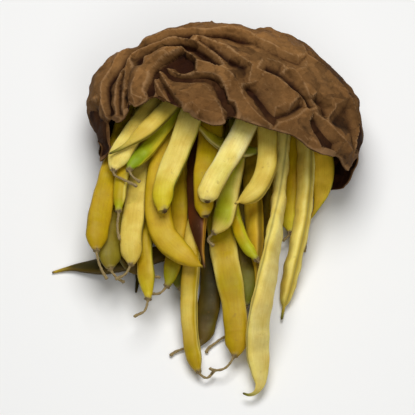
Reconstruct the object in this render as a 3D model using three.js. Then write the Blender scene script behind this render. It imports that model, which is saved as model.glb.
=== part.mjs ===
// A bundle of flat yellow beans that spills from a crumpled brown paper bag lying on its side.
// Millimetres, +Z up. The bag's mouth faces -Y, and +X is to the right of someone looking into it.
import * as THREE from "three";

// The beans are laid out in a slanted plane, as they are seen from the front and above:
// "across" is x, and "up" is y * UP_PER_Y + z * UP_PER_Z. The pile then settles each one's height.
const LOOK_DOWN = THREE.MathUtils.degToRad(60);
const UP_PER_Y = Math.sin(LOOK_DOWN);
const UP_PER_Z = Math.cos(LOOK_DOWN);

// Air between pieces that touch, and the sides of a bean's section
const CLEARANCE = 0.5;
const BEAN_SIDES = 8;
const HIDDEN_BEAN_SIDES = 6;

// Bean parts: stalk, the swelling at its foot, the shoulder of the pod, and the beak at its far end
const STALK_RADIUS = 1;
const STALK_TIP_RADIUS = 1.35;
const STALK_TIP_LENGTH = 2;
const STALK_FOOT_RADIUS = 1.6;
const STALK_FOOT_LENGTH = 2;
const HIDDEN_STALK_LENGTH = 8;
const CALYX_RADIUS = 2.3;
const SHOULDER_LENGTH = 15;
const SHOULDER_POWER = 0.55;
const FOOT_LENGTH = 70;
const SCAR_POWER = 0.62;
const TAPER_LENGTH = 34;
const TAPER_POWER = 0.75;
const BEAK_LENGTH = 8;
const BEAK_RADIUS = 1.1;
const BEAK_POINT = 0.55;
const SEED_SPACING = 22;
const SEED_SWELL = 0.1;

// Paper bag: half width, axis height, rise of its roof over the axis, depth of its floor under it,
// and how square its section is above and below
const BAG_HALF_WIDTH = 88;
const BAG_AXIS_Z = 30;
const BAG_ROOF = 54;
const BAG_FLOOR = 36;
const ROOF_POWER = 2.5;
const FLOOR_POWER = 3;
const BAG_BACK_Y = 245;
const BAG_SKEW = 0.1;
const BAG_WALL = 1.2;
const BAG_SEGMENTS = 52;

// Folded cuff over the mouth: how deep its folds are, how far each one hangs over the next, how
// thick its layers are together, and how far the crumpled paper stands in and out
const FOLD_DEPTH = 6;
const FOLD_OVERHANG = 2.5;
const UNDER_FOLDS = 8;
const CRUMPLE = 2;

// A fold's valley and the slope after it, as shares of the way to the lip and of the fold's depth
const VALLEY_STEP = 0.01;
const SLOPE_STEP = 0.12;
const SLOPE_DROP = 0.7;
const FOLD_SINK = 0.3;
const FOLD_SWEEP = 0.09;

// Cells of the pile's height map
const CELL = 1;
const MAP_X = [-125, 125];
const MAP_Y = [-20, 275];
const SETTLE_ROUNDS = 24;
const SETTLE_STEP = 0.3;
const SIDE_MARGIN = 0.3;

// How sharply a bean bends under its own weight, in 1 / mm, and the steps that measure its route
const BEND = 0.014;
const STEPS_PER_SPAN = 40;

const TINTS = {
  yellow: { color: 0xe3cf62, roughness: 0.55 },
  lime: { color: 0xb7bd2e, roughness: 0.55 },
  olive: { color: 0x8f8434, roughness: 0.6 },
  amber: { color: 0xb8862b, roughness: 0.6 },
};
const KRAFT = { color: 0x7a5a3c, roughness: 0.9 };

// One bean: its name, tint, breadth and thickness, the roll of its flat side at its outer and inner
// end in degrees, which end points out of the bag, its route from the outer to the inner end, the
// route of its stalk where that shows, and its breadth by the stalk as a share of its full breadth.
// Routes are [across, up] in the slanted plane.
const bean = (name, tint, section, roll, outer, route, stalk = [], footShare = 1) => (
  { name, tint, section, roll, outer, route, stalk, footShare, sides: BEAN_SIDES }
);
const hidden = (name, route) => (
  { ...bean(name, "olive", [14, 7.5], [0, 0], "beak", route), sides: HIDDEN_BEAN_SIDES }
);

// From the bottom of the pile to its top
const BEANS = [
  hidden("bean_under_left", [[-57, 64], [-55, 80], [-52, 118], [-50, 150], [-46, 184]]),
  hidden("bean_under_right", [[60, 124], [57, 150], [50, 176]]),
  bean("bean_cross_front", "olive", [11, 7], [10, 0], "beak",
    [[-111, 77], [-98, 80], [-80, 81], [-61, 84], [-36, 91], [-22, 97]]),
  bean("bean_dark_left", "olive", [15, 8], [-15, 0], "stalk",
    [[-52, 77], [-60, 86], [-67, 112], [-66, 145], [-60, 178]], [[-41, 74], [-47, 75]]),
  bean("bean_dark_middle", "olive", [14, 7.5], [0, 0], "stalk",
    [[-28, 67], [-29, 88], [-33, 127], [-34, 155], [-32, 194]]),
  bean("bean_dark_low", "olive", [13.5, 7], [10, 0], "stalk",
    [[-17, 32], [-12, 48], [-9, 76], [-12, 108], [-14, 140]], [[-35, 24], [-32, 28], [-23, 29]]),
  bean("bean_dark_low_right", "olive", [12, 7], [-10, 0], "stalk",
    [[5, 42], [5, 60], [4, 90], [3, 140]], [[-12, 26], [-11, 33], [-2, 34]]),
  bean("bean_olive_far_right", "olive", [12, 8], [30, 10], "stalk",
    [[18, 58], [21, 88], [24, 120], [26, 152], [27, 190]]),
  bean("bean_narrow_right", "lime", [12, 8], [30, 10], "stalk",
    [[48, 111], [46, 132], [44, 160], [43, 198]], [[51, 90], [52, 97], [51, 104]]),
  bean("bean_olive_right", "olive", [14, 8], [15, 0], "stalk",
    [[12, 56], [14, 84], [13, 114], [11, 150], [10, 190]]),
  bean("bean_green_tip", "lime", [10.5, 7], [15, 5], "stalk",
    [[-37, 69], [-34, 80], [-30, 103], [-29, 136], [-27, 193]], [[-48, 64], [-42, 64]]),
  bean("bean_drooping_stalk", "lime", [10, 7.5], [25, 0], "stalk",
    [[-49, 61], [-50, 72], [-52, 98], [-51, 130], [-47, 186]], [[-58, 49], [-56, 51], [-52, 52]]),
  bean("bean_low_edge", "yellow", [11, 9], [40, 20], "stalk",
    [[-17, 15], [-21, 30], [-23, 60], [-21, 88], [-20, 130]], [[-7, 15], [-10, 11], [-14, 11]], 0.85),
  bean("bean_olive_left", "olive", [15, 8], [-20, -5], "stalk",
    [[-73, 80], [-73, 98], [-70, 124], [-66, 155], [-60, 200]], [[-64, 71], [-69, 74]]),
  bean("bean_low_broad", "yellow", [17.5, 9], [12, 5], "stalk",
    [[6, 25], [7, 38], [5, 60], [-1, 92], [-5, 125], [-5, 152]], [[-10, 17], [-7, 14], [0, 17]], 0.78),
  bean("bean_short_right", "lime", [12, 8], [35, 15], "stalk",
    [[42, 103], [41, 116], [43, 136], [45, 168], [46, 208]], [[37, 97]]),
  bean("bean_right_crescent", "amber", [14, 8.5], [-10, -5], "beak",
    [[53, 109], [59, 119], [63, 137], [61, 162], [54, 190]]),
  bean("bean_seam_behind", "yellow", [13, 9], [75, 20], "beak",
    [[20, 67], [20, 90], [18, 128], [19, 168], [21, 196]]),
  bean("bean_brown", "amber", [12, 7.5], [45, 10], "beak",
    [[-13, 80], [-16, 98], [-18, 122], [-18, 152], [-15, 190]]),
  bean("bean_left_outer", "yellow", [14, 8.5], [-20, -5], "stalk",
    [[-82, 92], [-80, 114], [-74, 138], [-66, 165], [-54, 208]], [[-75, 73], [-79, 80]]),
  bean("bean_second_left", "yellow", [14, 8.5], [15, 5], "stalk",
    [[-60, 83], [-60, 100], [-57, 122], [-51, 154], [-39, 203]], [[-70, 73], [-64, 76]]),
  bean("bean_golden_crescent", "yellow", [16.5, 9.5], [10, 5], "beak",
    [[-14, 79], [-25, 86], [-39, 101], [-43, 122], [-40, 150], [-30, 205]]),
  bean("bean_edge_left", "lime", [8, 7], [30, 0], "stalk",
    [[-68, 117], [-67, 132], [-63, 155], [-55, 192]], [[-67, 98], [-69, 104], [-68, 111]]),
  bean("bean_thin_slanting", "lime", [7.5, 6.5], [30, 20], "stalk",
    [[20, 86], [12, 97], [5, 118], [1, 145], [0, 198]], [[25, 80]]),
  bean("bean_scar_end", "yellow", [15.5, 9.5], [0, 5], "scar",
    [[-13, 113], [-14, 136], [-10, 160], [-5, 214]], [], 0.7),
  bean("bean_green_end", "lime", [13, 8.5], [10, 5], "stalk",
    [[-7, 103], [-2, 110], [3, 132], [8, 162], [12, 210]], [[-7, 94], [-11, 98]]),
  bean("bean_long_hooked", "yellow", [14.5, 9], [15, 80], "beak",
    [[11, 1], [17, 0], [22, 6], [21, 22], [21, 44], [27, 76], [34, 120], [37, 180]]),
  bean("bean_long_pointed", "yellow", [12, 9.5], [65, 55], "beak",
    [[36, 47], [39, 62], [43, 80], [50, 114], [52, 150], [49, 201]]),
  bean("bean_cross_inside", "lime", [9.5, 6.5], [20, 20], "beak",
    [[-23, 178], [-14, 168], [-2, 159], [10, 155], [21, 155]]),
  bean("bean_golden_hook", "yellow", [12.5, 8.5], [20, 10], "beak",
    [[6, 121], [18, 128], [26, 143], [27, 165], [26, 205]]),
  bean("bean_slant_pale", "yellow", [13.5, 7.5], [5, 0], "stalk",
    [[-71, 143], [-63, 160], [-46, 184], [-26, 210]], [[-56, 132], [-62, 136], [-70, 138]]),
  bean("bean_slant_green", "lime", [9.5, 7], [10, 0], "stalk",
    [[-61, 144], [-47, 162], [-32, 182], [-14, 212]], [[-54, 135], [-59, 139]]),
  bean("bean_slant_beaked", "yellow", [11.5, 7], [15, 0], "beak",
    [[-74, 153], [-64, 158], [-49, 170], [-34, 186], [-20, 206]]),
  bean("bean_front_broad", "yellow", [15.5, 8.5], [8, 5], "scar",
    [[-40, 116], [-39, 132], [-28, 160], [-12, 208]], [], 0.84),
  bean("bean_top_bright", "yellow", [15.5, 9], [-5, 5], "scar",
    [[-13, 123], [-8, 134], [9, 163], [27, 204]], [], 0.86),
];

// Where the bag's lip lies: [angle round the bag in degrees, y]. 0 is right, 90 is up.
const LIP = [[0, 157], [20, 148], [40, 147], [65, 150], [90, 157], [112, 170], [130, 176], [155, 174],
  [180, 166], [195, 164], [212, 165], [240, 166], [300, 152], [325, 148], [345, 155], [360, 157]];

// How the bag's back closes: [distance in front of the back wall, share of the full section]
const BAG_BACK = [[0, 0], [1.5, 0.32], [5, 0.54], [11, 0.7], [20, 0.825], [31, 0.91], [46, 0.97], [62, 1],
  [120, 1]];
const BACK_ROWS = [0, 1.5, 5, 11];

// Folds of the cuff, from back to lip: share of the way to the lip, and size against the deepest
const FOLDS = [[0.14, 0.8], [0.42, 0.9], [0.7, 1]];

function smoothstep(low, high, value) {
  return THREE.MathUtils.smoothstep(value, low, high);
}

function lerpTable(table, value) {
  const next = Math.max(1, table.findIndex(([key]) => key >= value));
  const [keyA, a] = table[next - 1];
  const [keyB, b] = table[next];
  return THREE.MathUtils.mapLinear(value, keyA, keyB, a, b);
}

// Distance that the crumpled paper stands out at an angle and a depth along the bag
function crumple(angle, y) {
  const broad = Math.sin(3 * angle + y / 17) + Math.sin(5 * angle - y / 11 + 1.3);
  const sharp = Math.abs(Math.sin(7 * angle + y / 9)) - Math.abs(Math.sin(11 * angle - y / 13 + 0.7));
  return CRUMPLE * (0.3 * broad + 0.45 * sharp);
}

// A point on the bag's section: share of its full size, and how far the surface is pushed inwards
function bagPoint(angle, share, y, inwards) {
  const across = Math.cos(angle);
  const up = Math.sin(angle);
  const power = up > 0 ? ROOF_POWER : FLOOR_POWER;
  const height = up > 0 ? BAG_ROOF : BAG_FLOOR;
  const reach = (Math.abs(across) ** power + Math.abs(up) ** power) ** (-1 / power);
  const x = BAG_HALF_WIDTH * share * reach * across;
  const z = height * share * reach * up;
  const fade = smoothstep(0.3, 0.9, share) * smoothstep(-0.6, 0.1, up);
  const size = Math.hypot(x, z) || 1;
  const stretch = Math.max(0, 1 + (crumple(angle, y) * fade - inwards) / size);
  return new THREE.Vector3(x * stretch, y - BAG_SKEW * x, BAG_AXIS_Z + z * stretch);
}

// Rows of the bag's shell from the middle of its back, over the folds to the lip, and back inside.
// Each has its depth from the back wall, or its share of the way to the lip.
function bagRows() {
  const rows = BACK_ROWS.map((depth) => ({ depth, along: 0, drop: 0, inside: false }));
  const outer = (along, drop, hang = 0) => rows.push({ along, drop, hang, inside: false });
  let drop = 0;
  for (const [along, size] of FOLDS) {
    outer(along, drop, FOLD_OVERHANG);
    outer(along + VALLEY_STEP, drop + size);
    outer(along + SLOPE_STEP, drop + SLOPE_DROP * size);
    drop += FOLD_SINK * size;
  }
  outer(0.97, drop);
  outer(1, drop + FOLD_SINK);
  rows.push({ along: 0.985, drop: drop + 2 * FOLD_SINK, inside: true });
  for (const along of [0.7, 0.4, 0.15]) {
    rows.push({ along, drop: 0, inside: true });
  }
  for (const depth of BACK_ROWS.toReversed()) {
    rows.push({ depth, along: 0, drop: 0, inside: true });
  }
  return rows;
}

function bagVertex(row, angle) {
  const degrees = THREE.MathUtils.euclideanModulo(THREE.MathUtils.radToDeg(angle), 360);
  const overTop = smoothstep(-0.05, 0.5, Math.sin(angle));
  const sweep = FOLD_SWEEP * Math.sin(2 * angle + 5 * row.along) * Math.sin(Math.PI * row.along);
  const lip = lerpTable(LIP, degrees) + BAG_SKEW * BAG_HALF_WIDTH * Math.cos(angle);
  const along = row.along + sweep * overTop;
  const depth = row.depth ?? THREE.MathUtils.lerp(BACK_ROWS.at(-1) + FOLD_OVERHANG, BAG_BACK_Y - lip, along);
  const wall = row.inside ? BAG_WALL : 0;
  const underFolds = row.inside ? smoothstep(0, 0.15, row.along) * overTop : 0;
  const inwards = row.drop * FOLD_DEPTH * overTop + wall + UNDER_FOLDS * underFolds;
  const y = BAG_BACK_Y - depth - wall - (row.hang ?? 0) * overTop;
  const point = bagPoint(angle, lerpTable(BAG_BACK, depth), y, inwards);
  point.z = Math.max(point.z, wall);
  return point;
}

function bagGeometry() {
  const rows = bagRows();
  const profile = rows.map((row, index) => (
    new THREE.Vector2(index === 0 || index === rows.length - 1 ? 0 : 1, index)
  ));
  const geometry = new THREE.LatheGeometry(profile, BAG_SEGMENTS);
  const position = geometry.attributes.position;
  for (let index = 0; index < position.count; index += 1) {
    const turn = Math.floor(index / rows.length) % BAG_SEGMENTS;
    const point = bagVertex(rows[index % rows.length], (turn / BAG_SEGMENTS) * 2 * Math.PI);
    position.setXYZ(index, point.x, point.y, point.z);
  }
  geometry.computeVertexNormals();
  return geometry;
}

// Half breadth and half thickness of a bean at a distance along it from the tip of its stalk
function beanSection(item, distance, stalkLength, length) {
  const [breadth, thickness] = item.section;
  const left = length - distance;
  const into = distance - stalkLength;
  if (item.outer !== "scar" && into < 0) {
    const stalk = distance < STALK_TIP_LENGTH ? STALK_TIP_RADIUS : STALK_RADIUS;
    const radius = into > -STALK_FOOT_LENGTH ? STALK_FOOT_RADIUS : stalk;
    return [radius, radius];
  }
  const power = item.outer === "scar" ? SCAR_POWER : SHOULDER_POWER;
  const shoulder = Math.min(1, Math.max(0, into) / SHOULDER_LENGTH) ** power;
  const taper = smoothstep(BEAK_LENGTH / 2, TAPER_LENGTH, left) ** TAPER_POWER;
  const swell = 1 + SEED_SWELL * Math.cos((2 * Math.PI * (into - SHOULDER_LENGTH)) / SEED_SPACING);
  const slim = Math.min(shoulder, taper);
  const full = breadth * THREE.MathUtils.lerp(item.footShare, 1, smoothstep(0, FOOT_LENGTH, into));
  const beak = BEAK_RADIUS * Math.min(1, BEAK_POINT + left / (2 * BEAK_LENGTH));
  const least = left < TAPER_LENGTH ? beak : CALYX_RADIUS;
  return [
    Math.max(least, (full / 2) * slim),
    Math.max(least, (thickness / 2) * slim * swell),
  ];
}

// Distances of a bean's rings, closest where its outline turns fastest
function ringDistances(item, stalkLength, length) {
  const scar = item.outer === "scar";
  const foot = stalkLength - STALK_FOOT_LENGTH;
  const stalk = scar ? [0] : [0, 0.5, stalkLength / 2, foot - 0.5, stalkLength];
  const shoulder = (scar ? [0.2, 2, 6, 12] : [3, 8]).map((step) => stalkLength + step);
  const bodyStart = stalkLength + SHOULDER_LENGTH;
  const bodyEnd = length - TAPER_LENGTH;
  const bodyRings = Math.max(1, Math.round((bodyEnd - bodyStart) / (SEED_SPACING / 2)));
  const body = Array.from({ length: bodyRings + 1 }, (_, index) => (
    bodyStart + ((bodyEnd - bodyStart) * index) / bodyRings
  ));
  const taper = [22, 14, BEAK_LENGTH, BEAK_LENGTH / 2, 0.5, 0].map((left) => length - left);
  return [...stalk, ...shoulder, ...body, ...taper];
}

// A bean's flat route from the tip of its stalk to the tip of its beak
function beanRoute(item) {
  const points = item.route.map(([across, up]) => new THREE.Vector3(across, up, 0));
  const stalk = item.stalk.map(([across, up]) => new THREE.Vector3(across, up, 0));
  const outwards = item.outer === "beak";
  if (outwards) {
    points.reverse();
  }
  if (stalk.length === 0 && item.outer !== "scar") {
    const back = points[0].clone().sub(points[1]).setLength(HIDDEN_STALK_LENGTH);
    stalk.push(points[0].clone().add(back));
  }
  const curve = new THREE.CatmullRomCurve3([...stalk, ...points], false, "centripetal");
  curve.arcLengthDivisions = STEPS_PER_SPAN * (curve.points.length - 1);
  const stalkLength = curve.getLengths()[STEPS_PER_SPAN * stalk.length];
  return { curve, stalkLength, length: curve.getLength(), outwards };
}

// A bean's roll about its length, at a share of the way from stalk to beak
function beanRoll(item, path, share) {
  const degrees = THREE.MathUtils.lerp(...item.roll, path.outwards ? 1 - share : share);
  return THREE.MathUtils.degToRad(path.outwards ? -degrees : degrees);
}

// The lower and upper outline of a rolled ellipse, seen end on, at a sideways distance
function rolledEllipse([a, b], roll) {
  const half = Math.hypot(a * Math.cos(roll), b * Math.sin(roll));
  const height = (a * b) / half;
  const lean = ((a * a - b * b) * Math.sin(roll) * Math.cos(roll)) / (half * half);
  const bow = (side) => height * Math.sqrt(Math.max(0, 1 - (side / half) ** 2));
  return {
    half,
    lower: (side) => lean * side - bow(side),
    upper: (side) => lean * side + bow(side),
  };
}

// The pile's height map, level with the surface, and with the bag's floor where it lies
class Pile {
  constructor() {
    this.columns = Math.round((MAP_X[1] - MAP_X[0]) / CELL);
    this.rows = Math.round((MAP_Y[1] - MAP_Y[0]) / CELL);
    this.tops = new Float32Array(this.columns * this.rows).fill(-CLEARANCE);
    for (let cell = 0; cell < this.tops.length; cell += 1) {
      const { x, y } = this.middle(cell);
      if (y > bagFloorEdge(x) - 3 * CELL) {
        this.tops[cell] = BAG_WALL;
      }
    }
  }

  middle(cell) {
    return {
      x: MAP_X[0] + ((cell % this.columns) + 0.5) * CELL,
      y: MAP_Y[0] + (Math.floor(cell / this.columns) + 0.5) * CELL,
    };
  }

  cellAt(x, y) {
    const column = THREE.MathUtils.clamp(Math.floor((x - MAP_X[0]) / CELL), 0, this.columns - 1);
    const row = THREE.MathUtils.clamp(Math.floor((y - MAP_Y[0]) / CELL), 0, this.rows - 1);
    return row * this.columns + column;
  }

  // The cells that a station of a bean covers, each with its sideways distance from the bean's middle
  cellsUnder({ x, y, side, ellipse }) {
    const steps = Math.ceil(ellipse.half / (CELL / 2));
    const cells = [];
    for (let step = -steps; step <= steps; step += 1) {
      const reach = (ellipse.half * step) / steps;
      const cell = this.cellAt(x + side.x * reach, y + side.y * reach);
      const middle = this.middle(cell);
      const sideways = (middle.x - x) * side.x + (middle.y - y) * side.y;
      if (Math.abs(sideways) < ellipse.half) {
        cells.push({ cell, sideways });
      }
    }
    return cells;
  }

  // The lowest height at which a station clears what lies under it
  heightToClear(station) {
    return this.cellsUnder(station).reduce((height, { cell, sideways }) => (
      Math.max(height, this.tops[cell] + CLEARANCE - station.ellipse.lower(sideways))
    ), 0);
  }

  cover(station, height) {
    for (const { cell, sideways } of this.cellsUnder(station)) {
      this.tops[cell] = Math.max(this.tops[cell], height + station.ellipse.upper(sideways));
    }
  }
}

// Front edge of the bag's floor, which spans an eighth of a turn on either side of straight down
function bagFloorEdge(x) {
  return lerpTable(LIP, 270 + (x / BAG_HALF_WIDTH) * 45);
}

// A bean's stations, a millimetre apart: place in plan, sideways direction and rolled section
function beanStations(item, path, heights) {
  return heights.map((height, index) => {
    const share = index / (heights.length - 1);
    const flat = path.curve.getPointAt(share);
    const tangent = path.curve.getTangentAt(share);
    const run = new THREE.Vector2(tangent.x, tangent.y / UP_PER_Y).normalize();
    const section = beanSection(item, share * path.length, path.stalkLength, path.length);
    return {
      x: flat.x,
      y: (flat.y - height * UP_PER_Z) / UP_PER_Y,
      side: new THREE.Vector2(run.y, -run.x),
      ellipse: rolledEllipse(section.map((half) => half + SIDE_MARGIN), beanRoll(item, path, share)),
    };
  });
}

// The lowest line over the given heights that bends no more than a limp bean does, up or down
function drape(heights) {
  const sag = (a, b) => 0.5 * BEND * (a - b) ** 2;
  const over = (line) => line.map((_, at) => (
    Math.max(...line.map((height, from) => height - sag(at, from)))
  ));
  const under = (line) => line.map((_, at) => (
    Math.min(...line.map((height, from) => height + sag(at, from)))
  ));
  return under(over(over(heights)));
}

// Reads evenly spaced values along a bean at any distance
function between(values, length) {
  const last = values.length - 1;
  return (distance) => {
    const place = THREE.MathUtils.clamp((distance / length) * last, 0, last);
    const before = Math.min(Math.floor(place), last - 1);
    return THREE.MathUtils.lerp(values[before], values[before + 1], place - before);
  };
}

// Lays a bean on the pile: its place in plan follows its height, so both are found step by step
function settle(pile, item, path) {
  const rest = (heights) => {
    const stations = beanStations(item, path, heights);
    return { stations, laid: drape(stations.map((station) => pile.heightToClear(station))) };
  };
  let heights = Array(Math.ceil(path.length) + 1).fill(0);
  for (let round = 0; round < SETTLE_ROUNDS; round += 1) {
    const { laid } = rest(heights);
    heights = heights.map((height, index) => THREE.MathUtils.lerp(height, laid[index], SETTLE_STEP));
  }
  const { stations, laid } = rest(heights);
  stations.forEach((station, index) => pile.cover(station, laid[index]));
  return { plan: between(heights, path.length), height: between(laid, path.length) };
}

// A bean's solid: a sphere's rings drawn out along its route
function beanGeometry(item, path, laid) {
  const distances = ringDistances(item, path.stalkLength, path.length);
  const centres = distances.map((distance) => {
    const flat = path.curve.getPointAt(distance / path.length);
    const y = (flat.y - laid.plan(distance) * UP_PER_Z) / UP_PER_Y;
    return new THREE.Vector3(flat.x, y, laid.height(distance));
  });
  const geometry = new THREE.SphereGeometry(1, item.sides, distances.length - 1);
  const position = geometry.attributes.position;
  const up = new THREE.Vector3(0, 0, 1);
  for (let index = 0; index < position.count; index += 1) {
    const ring = Math.floor(index / (item.sides + 1));
    const turn = ((index % (item.sides + 1)) / item.sides) * 2 * Math.PI;
    const before = centres[Math.max(0, ring - 1)];
    const after = centres[Math.min(centres.length - 1, ring + 1)];
    const tangent = after.clone().sub(before).normalize();
    const side = tangent.clone().cross(up).normalize();
    const over = side.clone().cross(tangent);
    const roll = beanRoll(item, path, distances[ring] / path.length);
    const [a, b] = beanSection(item, distances[ring], path.stalkLength, path.length);
    const atTip = ring === 0 || ring === distances.length - 1 ? 0 : 1;
    const flat = -a * Math.cos(turn) * atTip;
    const thick = -b * Math.sin(turn) * atTip;
    const point = centres[ring].clone()
      .addScaledVector(side, flat * Math.cos(roll) - thick * Math.sin(roll))
      .addScaledVector(over, flat * Math.sin(roll) + thick * Math.cos(roll));
    position.setXYZ(index, point.x, point.y, point.z);
  }
  geometry.computeVertexNormals();
  return geometry;
}

function mesh(name, geometry, look) {
  const material = new THREE.MeshStandardMaterial({ ...look, metalness: 0 });
  const piece = new THREE.Mesh(geometry, material);
  piece.name = name;
  return piece;
}

// The origin is under the middle of the bundle, on the surface that it lies on
function buildBundle() {
  const bundle = new THREE.Group();
  const pile = new Pile();
  bundle.add(mesh("paper_bag", bagGeometry(), KRAFT));
  for (const item of BEANS) {
    const path = beanRoute(item);
    const laid = settle(pile, item, path);
    bundle.add(mesh(item.name, beanGeometry(item, path, laid), TINTS[item.tint]));
  }
  const box = new THREE.Box3().setFromObject(bundle);
  const middle = box.getCenter(new THREE.Vector3());
  bundle.position.set(-middle.x, -middle.y, -box.min.z);
  return bundle;
}

export default buildBundle();
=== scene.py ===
"""Dresses the bundle: flat yellow bean pods spilling from a crumpled kraft paper bag on its side."""

import math

import bmesh
import bpy
import numpy as np
from bpy.props import FloatProperty, FloatVectorProperty, IntProperty, PointerProperty
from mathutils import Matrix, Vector, noise
from mathutils.geometry import delaunay_2d_cdt


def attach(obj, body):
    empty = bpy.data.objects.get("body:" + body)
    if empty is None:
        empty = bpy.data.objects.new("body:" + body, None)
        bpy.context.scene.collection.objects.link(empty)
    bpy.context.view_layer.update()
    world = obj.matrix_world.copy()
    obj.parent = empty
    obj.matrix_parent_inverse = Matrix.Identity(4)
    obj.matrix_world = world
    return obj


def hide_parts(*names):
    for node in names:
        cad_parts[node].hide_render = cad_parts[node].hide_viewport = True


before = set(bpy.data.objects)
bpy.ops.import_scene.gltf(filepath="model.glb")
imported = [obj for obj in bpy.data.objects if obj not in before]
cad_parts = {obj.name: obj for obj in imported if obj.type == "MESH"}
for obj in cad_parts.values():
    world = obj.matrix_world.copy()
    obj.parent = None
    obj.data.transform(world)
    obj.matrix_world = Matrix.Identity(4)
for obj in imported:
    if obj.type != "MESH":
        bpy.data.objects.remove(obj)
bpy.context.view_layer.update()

bl_info = {
    "name": "Bean bundle in a paper bag",
    "version": (1, 0, 0),
    "blender": (4, 5, 0),
    "location": "3D View > Sidebar > Bundle",
    "description": "Lays bean pods in a crumpled paper bag, over the packed frame",
    "category": "Object",
}

MM = 0.001
WELD = 1e-6

# The viewer looks down at this angle. Folds and the lip are laid out in the plane across the line
# of sight: "across" is x, and "up" is PLANE_UP from PLANE_ORIGIN, in millimetres of the row frame.
LOOK_DOWN = math.radians(60)
PLANE_UP = np.array((0, math.sin(LOOK_DOWN), math.cos(LOOK_DOWN)))
PLANE_ORIGIN = np.array((0, -1.678, 0))
TO_VIEWER = np.array((0, -math.cos(LOOK_DOWN), math.sin(LOOK_DOWN)))
CAMERA_TILT = math.pi / 2 - LOOK_DOWN

# Skin tones of the pods, as red, green and blue from 0 to 255. Umber and soot are painted shade, darker than
# any pod's skin, and bronze is olive skin darkened by painted shade, for pods deep in the stack and in the
# gaps between them.
TONES = {
    "cream": (244, 234, 168),
    "butter": (238, 221, 124),
    "straw": (220, 196, 92),
    "lemon": (222, 206, 52),
    "gold": (204, 170, 40),
    "mustard": (184, 154, 6),
    "honey": (204, 156, 36),
    # Painted light: brighter than a pod's skin, for a pod that lies in the bag's shadow
    "painted_sunlit": (252, 216, 62),
    "rust": (104, 50, 16),
    "lime": (180, 182, 26),
    "leaf": (134, 158, 20),
    "moss": (108, 110, 16),
    "olive": (132, 116, 28),
    "bronze": (92, 74, 14),
    "shade_umber": (60, 53, 5),
    "shade_soot": (66, 34, 8),
    "khaki": (224, 206, 126),
    "fern": (150, 146, 14),
    "citron": (208, 190, 34),
}

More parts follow.
